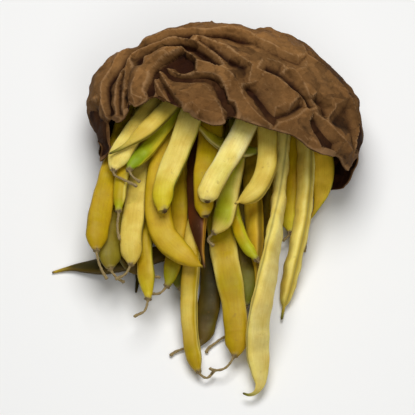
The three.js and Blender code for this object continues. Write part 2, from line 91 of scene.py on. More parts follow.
# Each pod: slot, tone at its foot by the stalk, along its edges, on its faces, at its tip and on its
# seams, how far the foot's tone reaches in mm, how many marks it has, and how green its patches are
PODS = {
    # The first seven pods lie deep in the stack: their dark tones are painted shade rather than the colour
    # of their skin
    "bean_under_left": ("pod_olive", "shade_umber", "shade_umber", "shade_umber", "shade_umber", "shade_umber", 30, 0.4, 0.0),
    "bean_under_right": ("pod_olive", "shade_umber", "shade_umber", "shade_umber", "shade_umber", "shade_umber", 30, 0.4, 0.0),
    "bean_cross_front": ("pod_olive", "bronze", "bronze", "shade_umber", "mustard", "bronze", 30, 0.5, 0.0),
    "bean_dark_left": ("pod_olive", "bronze", "bronze", "shade_umber", "shade_umber", "moss", 20, 0.5, 0.0),
    "bean_dark_middle": ("pod_olive", "moss", "bronze", "shade_umber", "shade_umber", "moss", 14, 0.5, 0.1),
    "bean_dark_low": ("pod_olive", "bronze", "bronze", "shade_umber", "shade_umber", "olive", 16, 0.5, 0.1),
    "bean_dark_low_right": ("pod_olive", "bronze", "bronze", "shade_umber", "shade_umber", "olive", 20, 0.5, 0.1),
    "bean_olive_far_right": ("pod_olive", "moss", "olive", "bronze", "olive", "mustard", 30, 0.4, 0.2),
    "bean_narrow_right": ("pod_lime", "mustard", "mustard", "olive", "olive", "gold", 30, 0.4, 0.1),
    "bean_olive_right": ("pod_olive", "moss", "olive", "bronze", "olive", "moss", 24, 0.4, 0.2),
    "bean_green_tip": ("pod_lime", "fern", "gold", "mustard", "olive", "gold", 16, 0.3, 0.1),
    "bean_drooping_stalk": ("pod_lime", "citron", "straw", "mustard", "olive", "lime", 14, 0.3, 0.1),
    "bean_low_edge": ("pod_yellow", "mustard", "mustard", "straw", "gold", "butter", 24, 0.4, 0.1),
    "bean_olive_left": ("pod_olive", "olive", "mustard", "olive", "olive", "moss", 30, 0.5, 0.1),
    "bean_low_broad": ("pod_yellow", "mustard", "butter", "mustard", "gold", "straw", 45, 0.5, 0.3),
    "bean_short_right": ("pod_lime", "lemon", "mustard", "mustard", "gold", "straw", 22, 0.2, 0.0),
    # This pod is painted brighter than its skin, as painted light against the bag's shadow over it
    "bean_right_crescent": ("pod_amber", "painted_sunlit", "gold", "painted_sunlit", "gold", "leaf", 30, 0.2, 0.0),
    "bean_seam_behind": ("pod_yellow", "gold", "gold", "gold", "gold", "bronze", 30, 0.4, 0.0),
    # The brown pod's soot is painted shade where it lies in a dark gap; its rust and honey are its own
    # colour
    "bean_brown": ("pod_amber", "shade_soot", "rust", "shade_soot", "shade_soot", "honey", 20, 1.0, 0.0),
    "bean_left_outer": ("pod_yellow", "mustard", "gold", "mustard", "gold", "olive", 30, 0.6, 0.15),
    "bean_second_left": ("pod_yellow", "straw", "butter", "straw", "gold", "olive", 40, 0.5, 0.1),
    "bean_golden_crescent": ("pod_yellow", "gold", "mustard", "gold", "mustard", "mustard", 30, 0.4, 0.1),
    "bean_edge_left": ("pod_lime", "lime", "butter", "mustard", "olive", "lemon", 6, 0.3, 0.2),
    "bean_thin_slanting": ("pod_lime", "lime", "lime", "mustard", "gold", "lemon", 16, 0.3, 0.15),
    "bean_scar_end": ("pod_yellow", "mustard", "gold", "mustard", "gold", "olive", 14, 0.7, 0.3),
    "bean_green_end": ("pod_lime", "straw", "butter", "lime", "gold", "straw", 8, 0.3, 0.3),
    "bean_long_hooked": ("pod_yellow", "butter", "butter", "khaki", "moss", "butter", 90, 0.3, 0.0),
    "bean_long_pointed": ("pod_yellow", "straw", "butter", "straw", "moss", "mustard", 30, 0.3, 0.0),
    "bean_cross_inside": ("pod_lime", "moss", "citron", "citron", "leaf", "cream", 30, 0.3, 0.15),
    "bean_golden_hook": ("pod_yellow", "gold", "straw", "straw", "straw", "mustard", 30, 0.5, 0.1),
    "bean_slant_pale": ("pod_yellow", "butter", "butter", "straw", "gold", "straw", 22, 0.3, 0.1),
    "bean_slant_green": ("pod_lime", "leaf", "lemon", "lime", "mustard", "lemon", 20, 0.4, 0.25),
    "bean_slant_beaked": ("pod_yellow", "straw", "straw", "straw", "moss", "moss", 30, 0.5, 0.2),
    "bean_front_broad": ("pod_yellow", "citron", "butter", "straw", "gold", "lime", 24, 0.5, 0.25),
    "bean_top_bright": ("pod_yellow", "butter", "cream", "butter", "straw", "straw", 16, 0.6, 0.2),
}

# Pods that narrow to their beak over another length than most do, in mm, and the beak's length
BEAKS = {"bean_long_pointed": (20, 9), "bean_golden_hook": (13, 3), "bean_golden_crescent": (34, 2)}

# Pods that narrow to their foot over another length than most do, in mm
FEET = {"bean_front_broad": 15, "bean_drooping_stalk": 16, "bean_green_tip": 14, "bean_top_bright": 6.5}

# Pods whose sections are turned from their CAD solids', in degrees at the stalk and at the beak
TWIST = {"bean_long_hooked": (40, -160)}

# How many sides the CAD solids of the beans have, and how far round a pod and the bag are, in mm
SOLID_SIDES = (6, 8)
POD_GIRTH = 40
BAG_GIRTH = 470

# A pod's main seam lies on this side of it
SEAM_SIDE = TO_VIEWER + (0.4, 0, 0)

# A seam's groove: its share of the ridge's height and width, and half the width of the painted shade along
# it, as an angle's sine.
# The seam at the back is lower and narrower by these shares.
GROOVE_DEPTH = 0.55
GROOVE_WIDTH = 0.3
GROOVE_SINE = 0.045
BACK_SEAM_HEIGHT = 0.6
BACK_SEAM_WIDTH = 0.7

# How much closer the points round a pod lie at its seams, and how square its section is
SEAM_BUNCHING = 0.3
SQUARENESS = 0.48

# How far the seeds swell a pod, how far apart they are, how long the waves of its
# outline are, and how large its patches of colour, in mm
SEED_SWELL = 0.055
SEED_SPACING = 13
WAVE_LENGTH = 13
PATCH_SIZE = 21

# Bag: half width, axis height, rise of its roof over the axis, depth of its floor under it, how
# square its section is above and below, place of its back, skew, the wall, how far the roof sinks
# at the mouth, how far its lining sinks at the lip and inside, and how long it takes, in mm
BAG_MIDDLE = 11.573
BAG_HALF_WIDTH = 88
BAG_AXIS_Z = 30
BAG_ROOF = 54
BAG_FLOOR = 36
ROOF_POWER = 2.5
FLOOR_POWER = 3
BAG_BACK_Y = 124.209
BAG_SKEW = 0.1
BAG_WALL = 1.2
MOUTH_DROP = 7
LIP_DROP = 8.6
LINING_DROP = 9.2
LIP_ROUNDING = 14

# How the bag's back closes: [distance in front of the back wall, share of the full section]
BAG_BACK = [(0, 0), (1.5, 0.32), (5, 0.54), (11, 0.7), (20, 0.825), (31, 0.91), (46, 0.97), (62, 1),
            (130, 1)]

# Where the lower half of the lip lies: [angle round the bag in degrees, y in mm]
LOWER_LIP = [(180, 47), (195, 46), (212, 47), (240, 47), (300, 33), (325, 29), (345, 36), (360, 38)]

# The upper half of the lip, from left to right, in the plane across the line of sight
UPPER_LIP = [(-85, 47.5), (-76, 47.5), (-69, 48.5), (-67.2, 54), (-66.2, 60), (-65.3, 66),
             (-63.3, 70.2), (-57.8, 69.6), (-53.5, 72.6), (-51.7, 77), (-50.5, 81), (-46.2, 80.6),
             (-40.7, 83.3), (-38, 86), (-26.6, 83.7), (-19.3, 80), (-13.1, 79), (-7, 72.6), (-3.3, 70.8),
             (4.6, 69.3), (10.1, 70.2), (14.8, 73.2), (19.3, 74.6), (23, 73), (30.3, 69.7), (42.5, 65.9),
             (57, 60.2), (66.1, 54.2), (79.9, 50.8), (88.2, 47.4), (92.8, 41.4), (101, 42)]

# The picture's scale: mm to a picture pixel, the column at the bag's middle, and one row's place
PIXEL = 0.64
MIDDLE_COLUMN = 225
LOW_ROW = 393
LOW_ROW_UP = -103.155

# Places are picked on two enlarged parts of the picture, or given in mm of that plane. A part's
# corner is in picture pixels, and it shows each of them enlarged by this much across and down.
LEFT_PART = ((85, 15), (1516 / 145, 1568 / 150))
RIGHT_PART = ((215, 15), (1302 / 155, 1568 / 185))
MILLIMETRES = None

# Ridges and valleys of the crumpled paper: height over the plain bag in mm, and stretches of places.
# Flat facets join them.
# Their heights also paint the paper: the lower a place, the darker its painted shade, and the higher, the
# lighter its painted light.
RELIEF = [
    # left wall
    (-3.5, (MILLIMETRES, [(-80, 58), (-77, 66), (-75, 74)])),
    (-3.0, (MILLIMETRES, [(-73, 57), (-70.5, 64), (-69, 70)])),
    # the outer band's inner edge
    (2.5, (LEFT_PART, [(215, 1000), (195, 850), (200, 720), (240, 640), (290, 560), (350, 480),
        (420, 410), (500, 350), (580, 300), (680, 265), (780, 225), (880, 195), (1000, 185), (1110, 170),
        (1250, 178), (1400, 175)])),
    (2.5, (RIGHT_PART, [(0, 140), (130, 140), (240, 160), (370, 215), (500, 285), (600, 330),
        (700, 360)])),
    # the valley inside it
    (-2.6, (LEFT_PART, [(243, 1000), (228, 850), (234, 730), (274, 655), (322, 583), (382, 505),
        (452, 435), (527, 378), (602, 328), (700, 292), (790, 252), (890, 222), (1000, 211), (1120, 203),
        (1250, 207), (1400, 207)])),
    (-3.0, (RIGHT_PART, [(0, 172), (130, 170), (235, 197)])),
    (-1.2, (RIGHT_PART, [(320, 240), (420, 290), (520, 340), (620, 372), (700, 402)])),
    # the second edge
    (1.5, (MILLIMETRES, [(-52.6, 77.5), (-52.9, 86.7), (-52.8, 95.9), (-52.3, 102.0), (-51.0, 106.9),
        (-48.8, 110.6), (-44.7, 114.2), (-38.5, 117.6), (-31.2, 120.6), (-25.3, 122.5), (-16.8, 123.4),
        (-10.1, 122.2)]), (LEFT_PART, [(1220, 328), (1330, 398), (1400, 452), (1445, 505)])),
    # the valley inside it
    (-5.0, (LEFT_PART, [(560, 450), (640, 405)]), (MILLIMETRES, [(-34.0, 116.4), (-29.1, 118.6),
        (-22.9, 120.3), (-16.8, 121.0), (-11.0, 119.4)]), (LEFT_PART, [(1180, 368), (1255, 425),
        (1330, 480), (1395, 515)])),
    # left folds
    (1.2, (MILLIMETRES, [(-57.4, 73.3), (-57.8, 83.7), (-57.9, 92.2), (-57.0, 97.7), (-55.4, 102.5)])),
    (-1.6, (MILLIMETRES, [(-56.0, 76.0), (-56.4, 84.9), (-56.5, 91.9), (-55.7, 98.1), (-54.4, 101.5)])),
    (-2.0, (MILLIMETRES, [(-51.2, 79.7), (-51.5, 84.9), (-51.4, 88.9)])),
    # top edge of the lobe
    (2.0, (LEFT_PART, [(640, 458), (720, 412), (800, 374), (880, 356), (960, 348), (1012, 342)])),
    # crest of the lobe
    (4.5, (LEFT_PART, [(520, 880), (525, 760), (565, 680), (620, 590), (690, 520), (770, 460),
        (850, 420)])),
    (1.5, (MILLIMETRES, [(-49.8, 83.7), (-49.7, 92.2), (-48.9, 99.6)]), (LEFT_PART, [(510, 560)])),
    # right edge of the lobe
    (2.5, (LEFT_PART, [(985, 375), (925, 410), (865, 450), (795, 500), (745, 540), (697, 590), (677, 660),
        (645, 730), (612, 830), (598, 890)])),
    # gap beside the lobe
    (-6.0, (LEFT_PART, [(1010, 398), (945, 448), (878, 505), (832, 548), (790, 575), (742, 606),
        (722, 650), (693, 720)]), (MILLIMETRES, [(-36.8, 91.2)])),
    # hollow
    (-4.6, (LEFT_PART, [(940, 520), (1000, 560)]), (MILLIMETRES, [(-13.1, 105.2), (-10.0, 107.4),
        (-11.3, 110.4), (-15.6, 112.2)]), (LEFT_PART, [(960, 470)])),
    # ridge from the tip of the lobe
    (-0.5, (LEFT_PART, [(1040, 358), (1070, 380), (1115, 415), (1165, 450), (1240, 466), (1310, 480)])),
    # arch
    (2.0, (MILLIMETRES, [(-6.2, 108.6), (-2.1, 108.4)]), (LEFT_PART, [(1330, 522), (1440, 572),
        (1500, 602)])),
    (2.5, (RIGHT_PART, [(20, 440), (70, 458), (140, 522), (200, 600), (232, 650)])),
    # lower edge of the arch
    (0.5, (LEFT_PART, [(862, 552), (902, 584), (980, 613), (1060, 613), (1130, 594), (1220, 587),
        (1320, 602), (1398, 642), (1448, 722), (1480, 820), (1500, 900)])),
    # dark band under the arch
    (-4.4, (LEFT_PART, [(870, 618), (960, 648), (1060, 650), (1160, 640), (1260, 640), (1340, 680),
        (1395, 755), (1435, 850), (1462, 950)])),
    # cuff
    (1.0, (LEFT_PART, [(900, 720), (990, 705), (1090, 715), (1190, 712), (1280, 752), (1345, 850)])),
    (4.0, (LEFT_PART, [(990, 820), (1080, 850), (1180, 890), (1290, 920), (1380, 930)])),
    (4.5, (LEFT_PART, [(1130, 960), (1220, 1030), (1320, 1040), (1430, 1010)])),
    # left edge of the cuff
    (2.8, (LEFT_PART, [(792, 612), (838, 690), (902, 790), (962, 880), (1032, 962), (1102, 1012),
        (1165, 1076)])),
    (-1.5, (LEFT_PART, [(772, 640), (812, 722), (872, 815), (930, 900), (990, 950)])),
    # small lobe
    (1.5, (LEFT_PART, [(735, 690), (775, 765), (830, 850), (880, 905)])),
    (-0.5, (LEFT_PART, [(712, 690), (728, 770), (778, 850), (820, 890)])),
    # crease beside the cuff
    (-5.5, (RIGHT_PART, [(62, 630), (82, 700), (112, 780), (150, 845)])),
    # left edge of the flap
    (1.8, (RIGHT_PART, [(122, 590), (150, 690), (178, 780), (192, 840)])),
    # flap
    (2.8, (RIGHT_PART, [(215, 660), (262, 740), (330, 830), (405, 905), (468, 950)])),
    (-3.0, (RIGHT_PART, [(275, 620), (335, 700), (402, 790), (450, 860), (484, 915)])),
    (1.8, (RIGHT_PART, [(240, 592), (310, 580), (400, 562)])),
    (1.5, (RIGHT_PART, [(452, 600), (482, 700), (505, 790)])),
    # sweep
    (3.2, (RIGHT_PART, [(412, 505), (520, 562), (600, 622), (680, 685), (738, 742)])),
    (2.5, (RIGHT_PART, [(560, 720), (630, 780)])),
    (-1.8, (RIGHT_PART, [(494, 872), (545, 858), (605, 838), (680, 792), (722, 765)])),
    (2.4, (RIGHT_PART, [(530, 930), (610, 905), (690, 865), (760, 805), (840, 850), (925, 915),
        (1000, 1000), (1075, 1090), (1135, 1180)])),
    (2.0, (RIGHT_PART, [(620, 985), (710, 960), (750, 1050), (830, 1085)])),
    # dark fold over the sweep
    (-2.6, (RIGHT_PART, [(440, 462), (502, 478), (565, 508), (622, 565), (682, 632), (742, 695),
        (802, 768)])),
    # ridge over it
    (2.0, (RIGHT_PART, [(590, 472), (650, 464), (702, 522), (744, 602), (792, 700), (842, 782)])),
    # long ridge
    (1.5, (LEFT_PART, [(1135, 222), (1230, 244), (1380, 312)])),
    (2.2, (RIGHT_PART, [(0, 244), (100, 302), (200, 372), (330, 452), (405, 498)])),
    (-3.0, (RIGHT_PART, [(10, 300), (70, 345), (150, 390), (240, 435)])),
    (-2.0, (LEFT_PART, [(1200, 262), (1300, 320), (1400, 390)])),
    # sheet inside the band
    (0.5, (RIGHT_PART, [(100, 250), (250, 300), (400, 362), (520, 402), (640, 440)])),
    (-0.5, (LEFT_PART, [(1250, 225), (1400, 240)])),
    # right sheet
    (1.5, (RIGHT_PART, [(862, 662), (905, 618), (955, 575)])),
    (1.2, (RIGHT_PART, [(760, 440), (850, 500), (900, 540)])),
    (-2.0, (RIGHT_PART, [(858, 722), (905, 770), (930, 840)])),
    (1.5, (RIGHT_PART, [(960, 690), (1010, 760), (955, 860)])),
    (-2.0, (RIGHT_PART, [(1075, 850), (1010, 905), (1120, 950)])),
    # dark triangle
    (-4.5, (RIGHT_PART, [(822, 905), (852, 985), (902, 1062), (950, 1105)])),
    (1.2, (RIGHT_PART, [(792, 905), (812, 990), (862, 1082)])),
    # right edge
    (2.0, (RIGHT_PART, [(760, 348), (900, 436), (1005, 535), (1075, 625), (1135, 722), (1182, 832),
        (1195, 950), (1175, 1080)])),
    (-3.0, (RIGHT_PART, [(795, 338), (922, 412), (1032, 512), (1110, 602), (1178, 716), (1222, 850),
        (1228, 950), (1206, 1085)])),
    (-1.5, (RIGHT_PART, [(1105, 790), (1128, 900), (1150, 1000), (1160, 1080)])),
    # lip
    (0.8, (LEFT_PART, [(215, 1062), (330, 1125), (400, 1078), (520, 945), (700, 880), (860, 915),
        (1000, 970), (1230, 1112), (1350, 1135), (1450, 1115)])),
    (0.8, (RIGHT_PART, [(330, 915), (560, 990), (690, 1040), (800, 1110), (980, 1160), (1090, 1210)])),
]

# Points round the bag's outline in the plane, where the relief ends
RIM = [(-92, 60), (-90, 80), (-82, 100), (-68, 116), (-50, 128), (-30, 136), (-8, 140), (15, 140),
       (38, 135), (60, 127), (78, 115), (92, 100), (101, 84), (106, 66), (106, 50), (-80, 45), (-60, 45),
       (-30, 50), (0, 50), (30, 50), (60, 35), (90, 25)]
RELIEF_STEP = 1.3
RELIEF_SCALE = 1.28

# Crumpling all over: [size of a facet, share of the height], and the seed of its random places
CRUMPLES = [(24, 1), (12, 0.75), (6.5, 0.42), (3.6, 0.16)]
CRUMPLE_SEED = 7

# How far the lining follows the outer wall's folds, in mm from the lip
LINING_FOLLOW = 10

# Faces that meet at more than this angle meet in a crease
CREASE_ANGLE = math.radians(32)

# How far in mm a point stands out of its neighbours where its pale worn ridge and painted highlight are
# strongest, and sinks below them where a crease's painted shade is darkest, the depth below its surroundings
# at which the painted shade of a hollow is darkest, and the depth that its inside counts as, which paints
# the whole inside in shade
CREASE_HEIGHT = 0.25
SHADE_DEPTH = 2.4
INSIDE_SHADE = 2.1

# How the plain bag's outline is fitted in that plane: [up, share added to the width on that side]
LEFT_FIT = [(30, -0.05), (47, -0.045), (53, -0.066), (59, -0.034), (65, -0.016), (72, 0.002),
            (80, 0.0), (88, 0.008), (98, 0.016), (107, -0.014), (115, -0.032), (122, -0.045)]
RIGHT_FIT = [(20, -0.02), (33, -0.05), (41, -0.048), (48, -0.029), (59, 0.025), (75, 0.042),
             (86, 0.059), (104, 0.02), (122, 0)]
# [across, rise in mm of the outline there]
TOP_FIT = [(-85, 0), (-69, -0.5), (-60, -6), (-54, -8.6), (-49, -9.8), (-38, -7.4), (-28, -5.4),
           (-18, -4), (-8, -2.2), (-2, -0.4), (5, 0.6), (14, -0.4), (22, -1.9), (28, -2.4), (32, -1.2),
           (38, 0.6), (45, -1), (52, -1.9), (60, -2.2), (69, -3.8), (79, -5.4), (88, -6), (100, -6)]


# Floor, lights and camera, in metres from the middle of the frame's floor, and the camera's sensor in mm
FLOOR_SIZE = 12
FLOOR_GAP = 0.0002
KEY_PLACE = (-0.02, 0.31, 1.12)
FILL_PLACE = (0.2, -0.75, 1.05)
LIGHT_SIZE = 0.8
AIM = (0.00037, 0.0007, 0.03)
CLIP = (0.05, 50)
SENSOR_WIDTH = 36


class BeanLooks(bpy.types.PropertyGroup):
    """Sizes and finish of the bean pods."""

    sides: IntProperty(name="Sides", description="Faces round a pod", default=44, min=12, max=96)
    seam_height: FloatProperty(
        name="Seam height", description="How far the main seam stands out of a pod", default=0.42 * MM,
        min=0, unit="LENGTH", precision=5)
    seam_width: FloatProperty(
        name="Seam width", description="Half width of a seam's ridge", default=0.75 * MM, min=0,
        unit="LENGTH", precision=5)
    unevenness: FloatProperty(
        name="Unevenness", description="How uneven a pod's outline is", default=0.09, min=0, max=0.3,
        subtype="FACTOR")
    roughness: FloatProperty(
        name="Roughness", description="Roughness of the waxy skin", default=0.54, min=0, max=1,
        subtype="FACTOR")
    stalk_colour: FloatVectorProperty(
        name="Stalk", description="Colour of the dry stalks", default=(0.27, 0.215, 0.11), size=3,
        subtype="COLOR", min=0, max=1)
    scar_colour: FloatVectorProperty(
        name="Scar", description="Colour of scars and of the collar at a stalk's foot",
        default=(0.07, 0.042, 0.016), size=3, subtype="COLOR", min=0, max=1)


class BagLooks(bpy.types.PropertyGroup):
    """Sizes and finish of the paper bag."""

    roof_sides: IntProperty(
        name="Roof faces", description="Faces across the bag's roof", default=240, min=40)
    floor_sides: IntProperty(name="Floor faces", description="Faces across its floor", default=130, min=20)
    rings: IntProperty(name="Rings", description="Rings of its outer wall", default=190, min=30)
    lining_rings: IntProperty(
        name="Lining rings", description="Rings of its inner wall", default=56, min=8)
    crumple: FloatProperty(
        name="Crumple", description="Height of the broad facets of the crumpled paper", default=1.9 * MM,
        min=0, unit="LENGTH", precision=5)
    colour: FloatVectorProperty(
        name="Paper", description="Colour of the kraft paper", default=(0.172, 0.088, 0.03), size=3,
        subtype="COLOR", min=0, max=1)


class StageLooks(bpy.types.PropertyGroup):
    """Floor, light and camera."""

    floor_colour: FloatVectorProperty(
        name="Floor", description="Colour of the plain floor", default=(0.86, 0.86, 0.85), size=3,
        subtype="COLOR", min=0, max=1)
    key_power: FloatProperty(
        name="Key light", description="Power of the main light", default=11.6, unit="POWER")
    fill_power: FloatProperty(
        name="Fill light", description="Power of the fill light", default=4.9, unit="POWER")
    surroundings: FloatProperty(
        name="Surroundings", description="Strength of the even light all round", default=0.1, min=0)
    lens: FloatProperty(
        name="Lens", description="Focal length of the camera", default=600, unit="CAMERA")
    view_width: FloatProperty(
        name="View width", description="Width that the camera takes in at the bundle", default=0.2656,
        unit="LENGTH")


def smoothstep(low, high, value):
    share = np.clip((np.asarray(value, float) - low) / (high - low), 0, 1)
    return share * share * (3 - 2 * share)


def unit(vectors):
    return vectors / np.maximum(np.linalg.norm(vectors, axis=-1, keepdims=True), 1e-12)


def linear(tone):
    """A tone's linear colour."""
    share = np.array(TONES[tone], float) / 255
    return np.where(share <= 0.04045, share / 12.92, ((share + 0.055) / 1.055) ** 2.4)


def mixed(colour, other, share):
    """A colour moved towards another by a share."""
    return colour * (1 - share) + other * share


def curve_through(keys, values, at, level=False):
    """Values of a smooth curve through the given ones. A level one never passes its neighbours."""
    keys = np.asarray(keys, float)
    values = np.asarray(values, float)
    if values.ndim == 1:
        return curve_through(keys, values[:, None], at, level)[:, 0]
    step = np.diff(keys)[:, None]
    rise = np.diff(values, axis=0) / step
    before, after = step[:-1], step[1:]
    inner = (rise[:-1] * after + rise[1:] * before) / (after + before)
    if level:
        same_way = rise[:-1] * rise[1:] > 0
        low = np.where(same_way, rise[:-1], 1)
        high = np.where(same_way, rise[1:], 1)
        weights = (2 * after + before, after + 2 * before)
        inner = np.where(same_way, (weights[0] + weights[1]) / (weights[0] / low + weights[1] / high), 0)
    slope = np.vstack([rise[:1], inner, rise[-1:]])
    at = np.clip(np.asarray(at, float), keys[0], keys[-1])
    index = np.clip(np.searchsorted(keys, at, side="right") - 1, 0, len(keys) - 2)
    span = (keys[index + 1] - keys[index])[:, None]
    s = (at - keys[index])[:, None] / span
    start = (2 * s**3 - 3 * s**2 + 1) * values[index] + (s**3 - 2 * s**2 + s) * span * slope[index]
    end = (3 * s**2 - 2 * s**3) * values[index + 1] + (s**3 - s**2) * span * slope[index + 1]
    return start + end


def lengths_along(points):
    """Distance of each point from the first, along them."""
    return np.concatenate([[0], np.cumsum(np.linalg.norm(np.diff(points, axis=0), axis=1))])


def ring_sphere(name, rings, points, lengths, girth):
    """A closed piece from a sphere whose rings are moved to points[ring, turn], in mm.
    Its UV map is in metres: round it and along it."""
    sides = points.shape[1]
    bpy.ops.object.select_all(action="DESELECT")
    bpy.ops.mesh.primitive_uv_sphere_add(segments=sides, ring_count=rings - 1, radius=1, location=(0, 0, 0))
    piece = bpy.context.active_object
    piece.name = name
    piece.data.name = name
    mesh = piece.data
    place = np.empty(len(mesh.vertices) * 3)
    mesh.vertices.foreach_get("co", place)
    place = place.reshape(-1, 3)
    ring = np.rint(np.arccos(np.clip(place[:, 2], -1, 1)) / math.pi * (rings - 1)).astype(int)
    turn = np.rint(np.arctan2(place[:, 1], place[:, 0]) / (2 * math.pi) * sides).astype(int) % sides
    mesh.vertices.foreach_set("co", (points[ring, turn] * MM).ravel())
    loops = np.empty(len(mesh.loops), int)
    mesh.loops.foreach_get("vertex_index", loops)
    layer = mesh.uv_layers.active
    uv = np.empty(len(mesh.loops) * 2)
    layer.data.foreach_get("uv", uv)
    uv = uv.reshape(-1, 2)
    uv[:, 0] *= girth * MM
    uv[:, 1] = lengths[ring, turn][loops] * MM
    layer.data.foreach_set("uv", uv.ravel())
    layer.name = "metres"
    mesh.update()
    bpy.ops.object.shade_smooth()
    return piece, ring, turn


def store(mesh, name, values):
    """Keeps a number or a colour for each vertex."""
    kind = "FLOAT" if values.ndim == 1 else "FLOAT_COLOR"
    if values.ndim == 2:
        values = np.hstack([values, np.ones((len(values), 1))])
    attribute = mesh.attributes.new(name, kind, "POINT")
    attribute.data.foreach_set("value" if kind == "FLOAT" else "color", values.astype(np.float32).ravel())


def finish_piece(piece, slot, *nodes):
    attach(piece, "root")
    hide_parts(*nodes)


# Bean pods

def layers_from(pole):
    """The rings of a bean, from the vertex at one of its tips, or None from any other vertex."""
    layers = [[pole]]
    seen = {pole}
    while True:
        after = {edge.other_vert(vert) for vert in layers[-1] for edge in vert.link_edges} - seen
        if not after:
            break
        seen |= after
        layers.append(sorted(after, key=lambda vert: vert.index))
    sizes = {len(layer) for layer in layers[1:-1]}
    return layers if sizes == {len(pole.link_edges)} and len(layers[-1]) == 1 else None


def bean_rings(node):
    """Rings of a CAD bean from the stalk's end to its beak, in mm."""
    source = bmesh.new()
    source.from_mesh(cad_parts[node].data)
    bmesh.ops.remove_doubles(source, verts=source.verts, dist=WELD)
    source.verts.index_update()
    poles = [vert for vert in source.verts if len(vert.link_edges) in SOLID_SIDES]
    layers = next(filter(None, map(layers_from, poles)), None)
    if layers is None:
        raise RuntimeError(f"{node} has no rings that run from tip to tip")
    rings = [np.array([v.co for v in layer]) / MM for layer in layers]
    source.free()
    spread = [np.linalg.norm(ring - ring.mean(axis=0), axis=1).mean() for ring in (rings[1], rings[-2])]
    return rings if spread[0] > spread[1] else rings[::-1]


